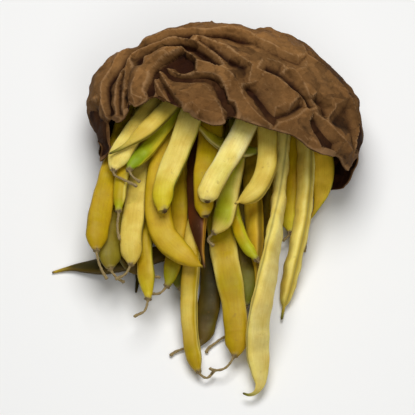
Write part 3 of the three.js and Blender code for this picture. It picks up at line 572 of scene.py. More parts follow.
class PodRoute:
    """A bean's centre line, the direction of its flat side and its half sizes, read from its CAD rings.
    Its sizes are in mm."""

    # A solid whose first ring is wider than this has a scar. Others have a stalk, up to this ring.
    SCAR_RADIUS = 2.0
    STALK_RING = 4
    # A section is flat enough to show its direction from this ratio of its sizes on
    CLEAR_RATIO = 1.12
    # How far the pod narrows to its foot, what share of its size is left there, and where that fades
    FOOT_REACH = 10
    FOOT_SHARE = 0.36
    FOOT_FADE = (12, 20)
    SCAR_START = 0.4
    SCAR_EDGE = 0.6
    # Half width of a beak, the length that rounds its end, how full its taper is, and where that fades
    BEAK_HALF = 0.9
    BEAK_END = 1.2
    BEAK_POWER = 0.62
    BEAK_FADE = (30, 36)

    def __init__(self, node):
        rings = bean_rings(node)
        self.centres = np.array([ring.mean(axis=0) for ring in rings])
        self.walk = lengths_along(self.centres)
        self.length = self.walk[-1]
        end_radius = np.linalg.norm(rings[1] - self.centres[1], axis=1).mean()
        self.scar = end_radius > self.SCAR_RADIUS
        self.stalk = 0 if self.scar else self.walk[self.STALK_RING]
        self.read_sections(rings)
        self.beak = BEAKS.get(node)
        self.foot_reach = FEET.get(node, self.FOOT_REACH)
        self.twist = np.radians(TWIST.get(node, (0, 0)))

    def read_sections(self, rings):
        count = len(rings)
        tangents = unit(np.gradient(self.centres, axis=0))
        axes, ratios = np.zeros((count, 3)), np.ones(count)
        for k in range(1, count - 1):
            _, sizes, directions = np.linalg.svd(rings[k] - self.centres[k])
            axes[k], ratios[k] = directions[0], sizes[0] / sizes[1]
        clearest = int(np.argmax(ratios[3:-3])) + 3
        flat = axes.copy()
        flat[clearest] *= 1 if flat[clearest] @ SEAM_SIDE > 0 else -1
        after = [(k, k - 1) for k in range(clearest + 1, count)]
        before = [(k, k + 1) for k in range(clearest - 1, -1, -1)]
        for k, last in after + before:
            carried = unit(flat[last] - (flat[last] @ tangents[k]) * tangents[k])
            clear = ratios[k] > self.CLEAR_RATIO and 0 < k < count - 1
            flat[k] = axes[k] * np.sign(axes[k] @ carried) if clear else carried
        half = np.zeros((count, 2))
        for k in range(1, count - 1):
            out = rings[k] - self.centres[k]
            over = np.cross(flat[k], tangents[k])
            half[k] = [math.sqrt(2 * np.mean((out @ axis) ** 2)) for axis in (flat[k], unit(over))]
        self.flat, self.half = flat, half

    def stations(self):
        """Distances along the pod in mm, closest together at its ends and its foot."""
        def span(start, end, step):
            return np.arange(start, end - step * 0.4, step)
        foot = self.stalk
        if self.scar:
            parts = [[0, 0.08, 0.2, 0.45], span(0.8, 5, 0.6)]
        else:
            parts = [[0, 0.12, 0.3, 0.6], span(1.1, foot - 3, 0.8)]
            parts += [span(foot - 3, foot + 3, 0.3), span(foot + 3, foot + 5, 0.6)]
        parts += [span(foot + 5, foot + 18, 1), span(foot + 18, self.length - 34, 1.7)]
        parts += [span(self.length - 34, self.length - 8, 1.1), span(self.length - 8, self.length - 1, 0.6)]
        parts += [self.length - np.array([0.8, 0.4, 0.15, 0])]
        return np.unique(np.concatenate([np.asarray(part, float) for part in parts]))

    def at(self, distances):
        """Centre, flat direction, thick direction and half sizes at each distance."""
        centre = curve_through(self.walk, self.centres, distances)
        tangent = unit(np.gradient(centre, axis=0))
        flat = curve_through(self.walk, self.flat, distances)
        flat = unit(flat - np.sum(flat * tangent, axis=1, keepdims=True) * tangent)
        thick = np.cross(flat, tangent)
        turn = np.interp(distances, (0, self.length), self.twist)[:, None]
        flat, thick = flat * np.cos(turn) + thick * np.sin(turn), thick * np.cos(turn) - flat * np.sin(turn)
        half = curve_through(self.walk, self.half, distances, level=True)
        half = self.with_foot(half, distances)
        if self.beak:
            half = self.with_beak(half, distances)
        return centre, tangent, flat, thick, half

    def with_foot(self, half, distances):
        """Half sizes that widen quickly from the foot."""
        into = distances - self.stalk
        full = half[np.searchsorted(into, self.FOOT_FADE[1])]
        near = 1 - smoothstep(*self.FOOT_FADE, into)[:, None]
        start = self.SCAR_START if self.scar else 0
        share = np.clip((into + start) / self.foot_reach, 0, 1)[:, None]
        risen = self.FOOT_SHARE + (1 - self.FOOT_SHARE) * np.sin(share * math.pi / 2)
        blunt = full * risen * (share > 0)
        if self.scar:
            blunt *= smoothstep(-self.SCAR_EDGE, self.SCAR_EDGE, distances)[:, None]
        return half + near * np.maximum(blunt - half, 0)

    def with_beak(self, half, distances):
        """Half sizes that narrow to the beak as BEAKS says."""
        taper, tip = self.beak
        left = self.length - distances
        full = half[np.searchsorted(distances, self.length - self.BEAK_FADE[1])]
        share = np.clip((left - tip) / taper, 0, 1)[:, None]
        round_off = np.sqrt(np.clip(left / self.BEAK_END, 0, 1))[:, None]
        shaped = np.maximum(full * (share * (2 - share)) ** self.BEAK_POWER, self.BEAK_HALF * round_off)
        near = 1 - smoothstep(*self.BEAK_FADE, left)[:, None]
        return half * (1 - near) + shaped * near


def seam_ridge(across, width):
    """Height of a seam across it: a ridge with a fine groove along its top."""
    groove = np.exp(-((across / (GROOVE_WIDTH * width)) ** 2))
    return np.exp(-((across / width) ** 2)) - GROOVE_DEPTH * groove


def stalk_swell(into, s, t, seed):
    """How much the stalk's ribs and knots, and the collar at its foot, swell each point's section."""
    woody = 1 - smoothstep(-0.2, 0.6, into)
    ribs = 0.12 * np.sin(5 * t + s * 0.35 + seed) + 0.07 * np.sin(9 * t - s * 0.8)
    knots = 0.12 * np.sin(s * 1.7 + seed) + 0.08 * np.sin(s * 3.1)
    collar = np.exp(-(((into + 0.8) / 0.7) ** 2)) * (0.5 + 0.3 * np.cos(5 * t + seed))
    return (1 + woody * (ribs + knots) + collar) * (1 - 0.3 * woody)


def scar_dent(radius, s):
    """How far a scar is sunk in its middle and raised at its rim, in mm."""
    dent = 0.9 * np.exp(-((radius / 1.7) ** 2)) - 0.6 * np.exp(-(((radius - 2.6) / 0.7) ** 2))
    return dent * (1 - smoothstep(0.8, 3, s))


def pod_points(route, looks, seed):
    """Points of a pod, rings by turns, and its distances, turns and seam strength."""
    distances = route.stations()
    even = np.arange(looks.sides) / looks.sides * 2 * math.pi
    turns = even - SEAM_BUNCHING * np.sin(2 * even)
    centre, tangent, flat, thick, half = route.at(distances)
    into = distances - route.stalk
    left = route.length - distances
    s, t = distances[:, None], turns[None, :]

    wave = np.array([
        [noise.noise(Vector((distance / WAVE_LENGTH, seed * 7.1, k))) for k in (0, 5)]
        for distance in distances
    ])
    body = smoothstep(4, 16, into) * smoothstep(3, 16, left)
    half = half * (1 + looks.unevenness * wave * body[:, None])
    half[:, 1] *= 1 + SEED_SWELL * body * np.sin(2 * math.pi * into / SEED_SPACING + 3 * wave[:, 0] + seed)
    breadth, depth = half[:, :1], half[:, 1:]
    x = breadth * np.cos(t)
    y = depth * np.sign(np.sin(t)) * np.abs(np.sin(t)) ** (1 - SQUARENESS * body[:, None])

    width = looks.seam_width / MM
    seam_on = (smoothstep(1.5, 9, into) * smoothstep(1, 8, left))[:, None]
    main = seam_ridge(depth * np.sin(t), width) * (np.cos(t) > 0)
    back = seam_ridge(depth * np.sin(t), width * BACK_SEAM_WIDTH) * (np.cos(t) < 0) * BACK_SEAM_HEIGHT
    ridge = (looks.seam_height / MM) * seam_on * (main + back)

    swell = 1 if route.scar else stalk_swell(into[:, None], s, t, seed)
    points = (
        centre[:, None]
        + (x * swell + ridge * np.cos(t))[..., None] * flat[:, None]
        + (y * swell)[..., None] * thick[:, None]
    )
    if route.scar:
        points += scar_dent(np.hypot(x, y), s)[..., None] * tangent[:, None]
    return points, distances, turns, np.clip(seam_on * (main + back) * 1.2, 0, 1)


def seam_groove_shade(turns, distances, route):
    """Where the dark line in the middle of the main seam lies: painted shade along its groove."""
    along = smoothstep(4, 14, distances - route.stalk) * smoothstep(2, 12, route.length - distances)
    across = np.exp(-((np.sin(turns) / GROOVE_SINE) ** 2)) * (np.cos(turns) > 0)
    return along[:, None] * across[None, :]


def paint_pod(mesh, route, looks, pod, seed, ring, turn, distances, turns, seam, points):
    """Keeps the skin's colour and where it is woody, and how marked it is, in the mesh."""
    _, foot, edge, face, tip, seam_tone, reach, marks, green = pod
    into = distances - route.stalk
    left = route.length - distances
    foot_share = (1 - smoothstep(reach * 0.4, reach * 1.4, into))[:, None, None]
    tip_share = (1 - smoothstep(1.5, 16, left))[:, None, None]
    patches = np.array([
        [noise.noise(Vector(points[k, j] / PATCH_SIZE) + Vector((seed * 3.7, 0, 0)))
         for j in range(len(turns))]
        for k in range(len(distances))
    ])
    on_face = smoothstep(0.25, 0.95, np.abs(np.sin(turns))[None, :] + 0.6 * patches)[..., None]
    skin = mixed(linear(edge), linear(face), on_face)
    skin = mixed(skin, linear(foot), foot_share)
    greener = (green * smoothstep(-0.1, 0.5, patches) * smoothstep(-5, 10, into)[:, None])[..., None]
    skin = mixed(skin, linear("leaf"), 0.7 * greener)
    skin = mixed(skin, linear(tip), tip_share)
    skin = mixed(skin, linear(seam_tone), 0.75 * seam[..., None])
    # The seam's groove is darkened as painted shade
    skin = skin * (1 - 0.5 * seam_groove_shade(turns, distances, route)[..., None])
    ragged = 0.7 * np.sin(3 * turns + seed) + 0.5 * np.sin(7 * turns - 2 * seed)
    if route.scar:
        radius = np.linalg.norm(points - points[0, 0], axis=2)
        wood = 1 - smoothstep(1.9, 2.5, radius + 0.2 * ragged[None, :])
        browned = 0.6 * (1 - smoothstep(2.8, 4.6, radius + 0.4 * ragged[None, :]))
        collar = 0.85
    else:
        from_foot = into[:, None] + 0.5 * ragged[None, :]
        wood = 1 - smoothstep(-0.5, 0.5, from_foot)
        browned = 0.5 * (1 - smoothstep(0.4, 2.4, from_foot))
        collar = 0.4 * np.exp(-(((into + 0.4) / 0.9) ** 2))[:, None, None]
    point_dark = (1 - smoothstep(0.3, 2.6, left))[:, None]
    scar = np.array(looks.scar_colour)
    stalk = np.array(looks.stalk_colour)
    skin = mixed(skin, stalk, 0.7 * browned[..., None])
    skin = mixed(skin, scar, 0.75 * point_dark[..., None])
    skin = mixed(skin, mixed(stalk, scar, collar), wood[..., None])
    store(mesh, "skin", skin[ring, turn])
    store(mesh, "wood", (wood * np.ones_like(patches))[ring, turn])
    store(mesh, "marks", np.full(len(mesh.vertices), float(marks)))


# Materials

class Nodes:
    """Adds and joins the nodes of a material."""

    def __init__(self, name):
        self.material = bpy.data.materials.new(name)
        self.material.use_nodes = True
        self.tree = self.material.node_tree
        self.tree.nodes.clear()
        self.output = self.add("ShaderNodeOutputMaterial")

    def add(self, kind, settings=None, **sockets):
        node = self.tree.nodes.new(kind)
        for name, value in (settings or {}).items():
            setattr(node, name, value)
        for name, value in sockets.items():
            self.set(node, name.replace("_", " "), value)
        return node

    def set(self, node, socket, value):
        target = node.inputs[int(socket)] if socket.isdigit() else node.inputs[socket]
        if isinstance(value, bpy.types.NodeSocket):
            self.tree.links.new(value, target)
        else:
            target.default_value = value

    def noise(self, vector, scale, detail=2, roughness=0.5):
        node = self.add("ShaderNodeTexNoise", Vector=vector, Scale=scale, Detail=detail, Roughness=roughness)
        return node.outputs["Fac"]

    def spread(self, value, low, high, to_low=0, to_high=1):
        """Maps a range of values to another, kept inside it."""
        settings = {"clamp": True, "interpolation_type": "SMOOTHSTEP"}
        node = self.add("ShaderNodeMapRange", settings, Value=value)
        for name, number in zip(("From Min", "From Max", "To Min", "To Max"), (low, high, to_low, to_high)):
            node.inputs[name].default_value = number
        return node.outputs["Result"]

    def math(self, operation, a, b):
        node = self.add("ShaderNodeMath", {"operation": operation})
        self.set(node, "0", a)
        self.set(node, "1", b)
        return node.outputs[0]

    def blend(self, share, a, b, kind="MIX"):
        node = self.add("ShaderNodeMix", {"data_type": "RGBA", "blend_type": kind, "clamp_factor": True})
        self.set(node, "0", share)
        for socket, value in (("6", a), ("7", b)):
            self.set(node, socket, (*value, 1) if isinstance(value, tuple) else value)
        return node.outputs[2]

    def attribute(self, name, output="Fac"):
        return self.add("ShaderNodeAttribute", {"attribute_name": name}).outputs[output]

    def stretched(self, vector, scale):
        node = self.add("ShaderNodeMapping", Vector=vector)
        node.inputs["Scale"].default_value = scale
        return node.outputs["Vector"]

    def tint(self, colour, value, low, high, amount, by):
        """Multiplies a colour by another, the more so the nearer a value is to the second limit."""
        return self.blend(self.spread(value, low, high, 0, amount), colour, by, "MULTIPLY")

    def vector_math(self, operation, a, b=None):
        node = self.add("ShaderNodeVectorMath", {"operation": operation})
        self.set(node, "0", a)
        if b is not None:
            self.set(node, "1", b)
        return node

    def bump(self, height, strength, distance, normal=None):
        node = self.add("ShaderNodeBump", Height=height, Strength=strength, Distance=distance)
        if normal is not None:
            self.set(node, "Normal", normal)
        return node.outputs["Normal"]


# How often the patterns of the skin and the paper repeat in a metre. A fibre's has one number for each
# direction of the UV map, or of the object.
SKIN_WAVES = {
    "cloud": 45, "mottle": 95, "dents": 170, "spots": 210, "flecks": 620, "speckle": 900,
    "fibres": (1500, 60, 1), "bark": (2500, 400, 1),
}
PAPER_WAVES = {
    "blotch": 38, "wobble": 90.0, "broad facets": 110.0, "cloud": 130, "fine facets": 290.0, "grain": 1400,
    "fibres": (420, 1900, 1), "crinkle": (150, 260, 150),
}


def pod_skin(slot, looks):
    """Waxy bean skin with fine lengthwise fibres, mottling and brown marks, and dull wood on the stalk."""
    n = Nodes(slot)
    places = n.add("ShaderNodeTexCoord")
    object_place, uv = places.outputs["Object"], places.outputs["UV"]
    skin = n.attribute("skin", "Color")
    wood = n.attribute("wood")
    marks = n.attribute("marks")
    mottle = n.noise(object_place, SKIN_WAVES["mottle"], 3)
    speckle = n.noise(object_place, SKIN_WAVES["speckle"], 2)
    fibres = n.noise(n.stretched(uv, SKIN_WAVES["fibres"]), 1, 2)
    cloud = n.noise(object_place, SKIN_WAVES["cloud"], 3, 0.55)
    colour = n.tint(skin, mottle, 0.35, 0.7, 0.4, (0.78, 0.6, 0.2))
    colour = n.tint(colour, fibres, 0.3, 0.7, 0.35, (0.8, 0.72, 0.45))
    colour = n.tint(colour, speckle, 0.35, 0.7, 0.16, (0.8, 0.78, 0.6))
    colour = n.tint(colour, cloud, 0.42, 0.72, 0.4, (0.82, 0.8, 0.4))
    colour = n.tint(colour, cloud, 0.5, 0.25, 0.3, (1.1, 1.12, 1.12))

    spots = n.spread(n.noise(object_place, SKIN_WAVES["spots"], 3, 0.6), 0.64, 0.74)
    flecks = n.spread(n.noise(object_place, SKIN_WAVES["flecks"], 2, 0.6), 0.66, 0.76)
    darkest = n.math("MAXIMUM", n.math("MULTIPLY", spots, 0.55), n.math("MULTIPLY", flecks, 0.7))
    colour = n.blend(n.math("MULTIPLY", marks, darkest), colour, (0.2, 0.1, 0.025))

    grooves = n.noise(n.stretched(uv, SKIN_WAVES["bark"]), 1, 3)
    bark = n.blend(n.spread(grooves, 0.3, 0.7), (0.45, 0.4, 0.35), (1.5, 1.4, 1.2))
    colour = n.blend(wood, colour, n.blend(1.0, skin, bark, "MULTIPLY"))
    waxy = n.spread(mottle, 0.3, 0.7, looks.roughness - 0.05, looks.roughness + 0.08)
    rough = n.math("ADD", waxy, n.math("MULTIPLY", wood, 0.35))

    normal = n.bump(fibres, 0.18, 0.0003)
    normal = n.bump(n.noise(object_place, SKIN_WAVES["dents"], 3), 0.4, 0.0012, normal)
    shader = n.add("ShaderNodeBsdfPrincipled", Base_Color=colour, Roughness=rough, Normal=normal)
    shader.inputs["Subsurface Weight"].default_value = 0.12
    shader.inputs["Subsurface Radius"].default_value = (1, 0.7, 0.2)
    shader.inputs["Subsurface Scale"].default_value = 0.002
    shader.inputs["Specular IOR Level"].default_value = 0.22
    n.set(n.output, "Surface", shader.outputs[0])
    return n.material


def paper_cells(n, places, scale):
    """Height of flat facets, each tilted its own way, and a painted light and shade for each facet, as if it
    faced its own way.
    """
    cells = n.add("ShaderNodeTexVoronoi", Vector=places, Scale=scale)
    middle, third = (0.5, 0.5, 0.5), (0.333, 0.333, 0.333)
    tilt = n.vector_math("SUBTRACT", cells.outputs["Color"], middle)
    reach = n.vector_math("SUBTRACT", places, cells.outputs["Position"])
    facet = n.vector_math("DOT_PRODUCT", tilt.outputs[0], reach.outputs[0])
    tone = n.vector_math("DOT_PRODUCT", cells.outputs["Color"], third)
    return facet.outputs["Value"], tone.outputs["Value"]


def kraft_paper(looks):
    """Brown paper with fibres, blotches and fine crumpling; its ridges are pale, partly worn and partly
    painted highlight, and it gets painted shade in creases, hollows and towards the mouth and painted light
    at the back.
    """
    n = Nodes("kraft_paper")
    places = n.add("ShaderNodeTexCoord")
    object_place, uv = places.outputs["Object"], places.outputs["UV"]
    ridge_light_and_crease_shade = n.attribute("crease")
    depth = n.attribute("hollow_shade")
    blotch = n.noise(object_place, PAPER_WAVES["blotch"], 4, 0.6)
    cloud = n.noise(object_place, PAPER_WAVES["cloud"], 4, 0.6)
    grain = n.noise(object_place, PAPER_WAVES["grain"], 2)
    fibres = n.noise(n.stretched(uv, PAPER_WAVES["fibres"]), 1, 3, 0.6)
    crinkle = n.noise(n.stretched(object_place, PAPER_WAVES["crinkle"]), 1, 5, 0.65)
    colour = n.tint(tuple(looks.colour), blotch, 0.3, 0.72, 0.55, (0.66, 0.6, 0.52))
    colour = n.tint(colour, cloud, 0.35, 0.7, 0.35, (1.28, 1.24, 1.18))
    colour = n.tint(colour, fibres, 0.35, 0.7, 0.45, (0.72, 0.66, 0.6))
    colour = n.tint(colour, grain, 0.4, 0.75, 0.35, (1.3, 1.25, 1.15))
    colour = n.tint(colour, crinkle, 0.45, 0.65, 0.25, (0.58, 0.52, 0.44))
    colour = n.tint(colour, crinkle, 0.45, 0.3, 0.2, (1.3, 1.25, 1.2))

    # Small flat facets, whose edges waver, each painted lighter or darker as painted light and shade of
    # facets that face different ways
    wobble = n.add("ShaderNodeTexNoise", Vector=object_place, Scale=PAPER_WAVES["wobble"], Detail=2.0)
    wobble = n.vector_math("SCALE", wobble.outputs["Color"])
    wobble.inputs["Scale"].default_value = 0.008
    warped = n.vector_math("ADD", object_place, wobble.outputs[0]).outputs[0]
    broad, broad_facet_shading = paper_cells(n, warped, PAPER_WAVES["broad facets"])
    fine, fine_facet_shading = paper_cells(n, warped, PAPER_WAVES["fine facets"])
    colour = n.tint(colour, broad_facet_shading, 0.3, 0.7, 0.5, (1.25, 1.22, 1.18))
    colour = n.tint(colour, broad_facet_shading, 0.5, 0.25, 0.55, (0.7, 0.66, 0.6))
    colour = n.tint(colour, fine_facet_shading, 0.3, 0.7, 0.3, (1.25, 1.22, 1.18))
    colour = n.tint(colour, fine_facet_shading, 0.5, 0.25, 0.3, (0.74, 0.7, 0.64))

    # Ridges are pale, partly from wear and partly as a painted highlight, and creases are darkened as
    # painted shade
    colour = n.blend(n.spread(ridge_light_and_crease_shade, 0.18, 0.9, 0, 0.5), colour, (0.32, 0.19, 0.09))
    colour = n.tint(colour, ridge_light_and_crease_shade, -0.15, -0.9, 0.6, (0.35, 0.28, 0.22))
    # Painted shade makes the mouth's end darker, and painted light makes the back brighter, as light falls
    # from above and behind
    back = n.add("ShaderNodeSeparateXYZ", Vector=object_place).outputs["Y"]
    colour = n.tint(colour, back, 0.075, 0.045, 1, (0.82, 0.8, 0.78))
    colour = n.tint(colour, back, 0.08, 0.108, 1, (1.24, 1.22, 1.18))

    # Painted shade darkens the hollows and the inside, and painted light makes what stands over its
    # surroundings a little lighter
    depth = n.math("ADD", depth, n.spread(blotch, 0.3, 0.7, -0.14, 0.14))
    colour = n.tint(colour, depth, -0.05, 1.05, 1, (0.14, 0.066, 0.02))
    colour = n.tint(colour, depth, -0.1, -0.8, 0.6, (1.25, 1.22, 1.15))

    normal = n.bump(broad, 0.8, 1.1)
    normal = n.bump(fine, 0.35, 0.7, normal)
    normal = n.bump(crinkle, 0.25, 0.001, normal)
    normal = n.bump(n.math("ADD", fibres, grain), 0.3, 0.00015, normal)
    shader = n.add("ShaderNodeBsdfPrincipled", Base_Color=colour, Roughness=0.86, Normal=normal)
    shader.inputs["Specular IOR Level"].default_value = 0.12
    n.set(n.output, "Surface", shader.outputs[0])
    return n.material


def plain(name, colour, roughness):
    n = Nodes(name)
    shader = n.add("ShaderNodeBsdfPrincipled", Base_Color=(*colour, 1), Roughness=roughness)
    n.set(n.output, "Surface", shader.outputs[0])
    return n.material


# Paper bag

def facet_heights(places, heights, at):
    """Height at each point of a plane, on flat facets that join the given places."""
    corners, _, faces, origins, _, _ = delaunay_2d_cdt([Vector(place) for place in places], [], [], 0, 1e-4)
    height = np.array([heights[origin[0]] for origin in origins])
    corners = np.array([tuple(corner) for corner in corners])
    across, up = at[..., 0].ravel(), at[..., 1].ravel()
    found = np.zeros(across.shape)
    order = np.argsort(across)
    across, up = across[order], up[order]
    for face in faces:
        (ax, ay), (bx, by), (cx, cy) = corners[face]
        double_area = (bx - ax) * (cy - ay) - (cx - ax) * (by - ay)
        if abs(double_area) < 1e-9:
            continue
        first, last = np.searchsorted(across, (min(ax, bx, cx), max(ax, bx, cx)))
        x, y = across[first:last], up[first:last]
        to_b = ((x - ax) * (cy - ay) - (cx - ax) * (y - ay)) / double_area
        to_c = ((bx - ax) * (y - ay) - (x - ax) * (by - ay)) / double_area
        inside = (to_b >= -1e-6) & (to_c >= -1e-6) & (to_b + to_c <= 1 + 1e-6)
        a, b, c = height[face]
        value = a + (b - a) * to_b + (c - a) * to_c
        found[order[first:last][inside]] = value[inside]
    return found.reshape(at.shape[:-1])


def crumple_heights(looks, around, along, girth):
    """How far the crumpled paper stands out, on facets whose corners lie at random over the bag."""
    rng = np.random.default_rng(CRUMPLE_SEED)
    at = np.stack([around, along], axis=-1)
    total = np.zeros(around.shape)
    for size, share in CRUMPLES:
        columns, rows = round(girth / size), math.ceil(along.max() / size) + 1
        grid = np.stack(np.meshgrid(np.arange(columns), np.arange(rows), indexing="ij"), axis=-1)
        grid = grid.reshape(-1, 2)
        places = (grid + rng.uniform(-0.42, 0.42, grid.shape)) * (girth / columns, size)
        heights = rng.choice((-1.0, 1.0), len(places)) * rng.uniform(0.3, 1, len(places))
        turns = [places + (shift * girth, 0) for shift in (-1, 0, 1)]
        total += share * facet_heights(np.vstack(turns), np.tile(heights, 3), at)
    return total * looks.crumple / MM


def in_plane(part, picks):
    """Places in mm of the plane across the line of sight. Picked ones are good to a tenth of a mm."""
    picks = np.array(picks, float)
    if part is MILLIMETRES:
        return picks
    corner, enlarged = part
    column, row = (corner + picks / enlarged).T
    across = BAG_MIDDLE + (column - MIDDLE_COLUMN) * PIXEL
    up = LOW_ROW_UP + (LOW_ROW - row) * PIXEL
    return np.round(np.stack([across, up], axis=1), 1)


def relief_heights(points):
    """Height of the folds that a viewer sees, over the plain bag."""
    places, heights = list(RIM), [0.0] * len(RIM)
    for height, *stretches in RELIEF:
        line = np.vstack([in_plane(part, picks) for part, picks in stretches])
        walk = lengths_along(line)
        count = max(len(line), round(walk[-1] / RELIEF_STEP) + 1)
        along = np.linspace(0, walk[-1], count)
        places += [tuple(place) for place in curve_through(walk, line, along)]
        heights += [height] * count
    at = np.stack([points[..., 0], (points - PLANE_ORIGIN) @ PLANE_UP], axis=-1)
    return facet_heights(places, heights, at) * RELIEF_SCALE


def fit_outline(points):
    """Moves the plain bag's points across the line of sight, so that its outline is the real bag's."""
    up = (points - PLANE_ORIGIN) @ PLANE_UP
    across = points[..., 0] - BAG_MIDDLE
    left = curve_through(*zip(*LEFT_FIT), up.ravel(), level=True).reshape(up.shape)
    right = curve_through(*zip(*RIGHT_FIT), up.ravel(), level=True).reshape(up.shape)
    rise = curve_through(*zip(*TOP_FIT), points[..., 0].ravel(), level=True).reshape(up.shape)
    moved = points.copy()
    moved[..., 0] += across * np.where(across < 0, left, right)
    return moved + (rise * smoothstep(75, 112, up))[..., None] * PLANE_UP


def softened(heights, times):
    """Heights over rings and turns, evened out with their neighbours."""
    for _ in range(times):
        beside = np.roll(heights, 1, axis=1) + np.roll(heights, -1, axis=1)
        heights = 0.5 * heights + 0.25 * beside
        heights[1:-1] = 0.5 * heights[1:-1] + 0.25 * (heights[:-2] + heights[2:])
    return heights


def bag_section(angle, share, y):
    """Points of the bag's plain section, and the direction in which each is drawn in."""
    across, up = np.cos(angle), np.sin(angle)
    power = np.where(up > 0, ROOF_POWER, FLOOR_POWER)
    height = np.where(up > 0, BAG_ROOF, BAG_FLOOR)
    reach = (np.abs(across) ** power + np.abs(up) ** power) ** (-1 / power)
    x = BAG_HALF_WIDTH * share * reach * across
    z = height * share * reach * up
    size = np.maximum(np.hypot(x, z), 1e-6)
    fade = smoothstep(0.3, 0.9, share) * smoothstep(-0.6, 0.1, up)
    depth = BAG_BACK_Y - y
    broad = np.sin(3 * angle - depth / 17 + 1.5) + np.sin(5 * angle + depth / 11 + 1.3)
    stretch = 1 + 0.6 * broad * fade / size
    inwards = np.stack([-x / size, np.zeros_like(x), -z / size], axis=-1)
    place = np.stack([BAG_MIDDLE + x * stretch, y - BAG_SKEW * x, BAG_AXIS_Z + z * stretch], axis=-1)
    return place, inwards


def lip_depth(angle):
    """Distance from the bag's back to its lip, for each angle round it."""
    degrees = np.degrees(angle) % 360
    level = np.interp(np.where(degrees < 180, 180, degrees), *zip(*LOWER_LIP))
    skew = BAG_SKEW * BAG_HALF_WIDTH * np.cos(angle)
    lower = BAG_BACK_Y - PLANE_ORIGIN[1] - level - skew
    depth = lower.copy()
    over = np.where(degrees < 180, np.sin(angle), 0)
    keys, ups = zip(*UPPER_LIP)
    for _ in range(4):
        place, inwards = bag_section(angle, np.ones_like(angle), BAG_BACK_Y - depth)
        place = place + inwards * (MOUTH_DROP * smoothstep(-0.05, 0.5, np.sin(angle)))[:, None]
        up = curve_through(keys, ups, place[:, 0])
        y = (up - place[:, 2] * PLANE_UP[2]) / PLANE_UP[1] + PLANE_ORIGIN[1]
        depth = BAG_BACK_Y - y - BAG_SKEW * (place[:, 0] - BAG_MIDDLE)
    side = BAG_BACK_Y - PLANE_ORIGIN[1] - np.where(degrees < 90, LOWER_LIP[-1][1], LOWER_LIP[0][1]) - skew
    share = smoothstep(0, 0.25, over)
    return np.where(degrees < 180, depth * share + side * (1 - share), lower)


def bag_shell(looks):
    """The plain bag without folds: outer rings from the back to the lip, then the lining's back again."""
    roof = np.arange(looks.roof_sides) / looks.roof_sides * math.pi
    floor = math.pi + np.arange(looks.floor_sides) / looks.floor_sides * math.pi
    angle = np.concatenate([roof, floor])[::-1]
    depths, shares = (np.array(column, float) for column in zip(*BAG_BACK))
    walk = lengths_along(np.stack([depths, shares * BAG_HALF_WIDTH], axis=1))
    lip = np.interp(lip_depth(angle), depths, walk)
    over = smoothstep(-0.05, 0.5, np.sin(angle))

    rows = []
    for k in range(looks.rings):
        rows.append((k / (looks.rings - 1), False))
    for k in range(looks.lining_rings):
        share = (k + 0.35) / (looks.lining_rings - 0.65)
        rows.append((1 - share**1.3, True))
    points, inward, lengths = [], [], []
    for along, lining in rows:
        travel = lip * along
        depth = curve_through(walk, depths, travel, level=True)
        share = curve_through(walk, shares, travel, level=True)
        drop = MOUTH_DROP * smoothstep(0.35, 1, along) * over
        if lining:
            deeper = smoothstep(0, LIP_ROUNDING, lip * (1 - along))
            deep = LINING_DROP * deeper + LIP_DROP * (1 - deeper)
            drop = deep * over * smoothstep(0, 0.25, along) + BAG_WALL * (1 - over)
            depth = depth + BAG_WALL * (1 - smoothstep(0.2, 0.6, along))
            share = share * (1 - 0.015 * (1 - smoothstep(0.3, 0.9, along)))
        place, inwards = bag_section(angle, share, BAG_BACK_Y - depth)
        size = np.linalg.norm(place[:, [0, 2]] - (BAG_MIDDLE, BAG_AXIS_Z), axis=1)
        place = place + inwards * np.minimum(drop, size)[:, None]
        points.append(place)
        inward.append(inwards)
        lengths.append(travel)
    return np.array(points), angle, np.array(lengths)


def grid_normals(points):
    """Outward normals of rings of points."""
    along = np.gradient(points, axis=0)
    around = np.roll(points, -1, axis=1) - np.roll(points, 1, axis=1)
    return unit(np.cross(along, around))


def creases(points):
    """How far each point stands out of its neighbours, in mm."""
    beside = 0.25 * (np.roll(points, 1, axis=1) + np.roll(points, -1, axis=1))
    beside[1:-1] += 0.25 * (points[:-2] + points[2:])
    beside[[0, -1]] = points[[0, -1]]
    crease = np.sum((points - beside) * grid_normals(points), axis=-1)
    crease[[0, -1]] = 0
    return crease


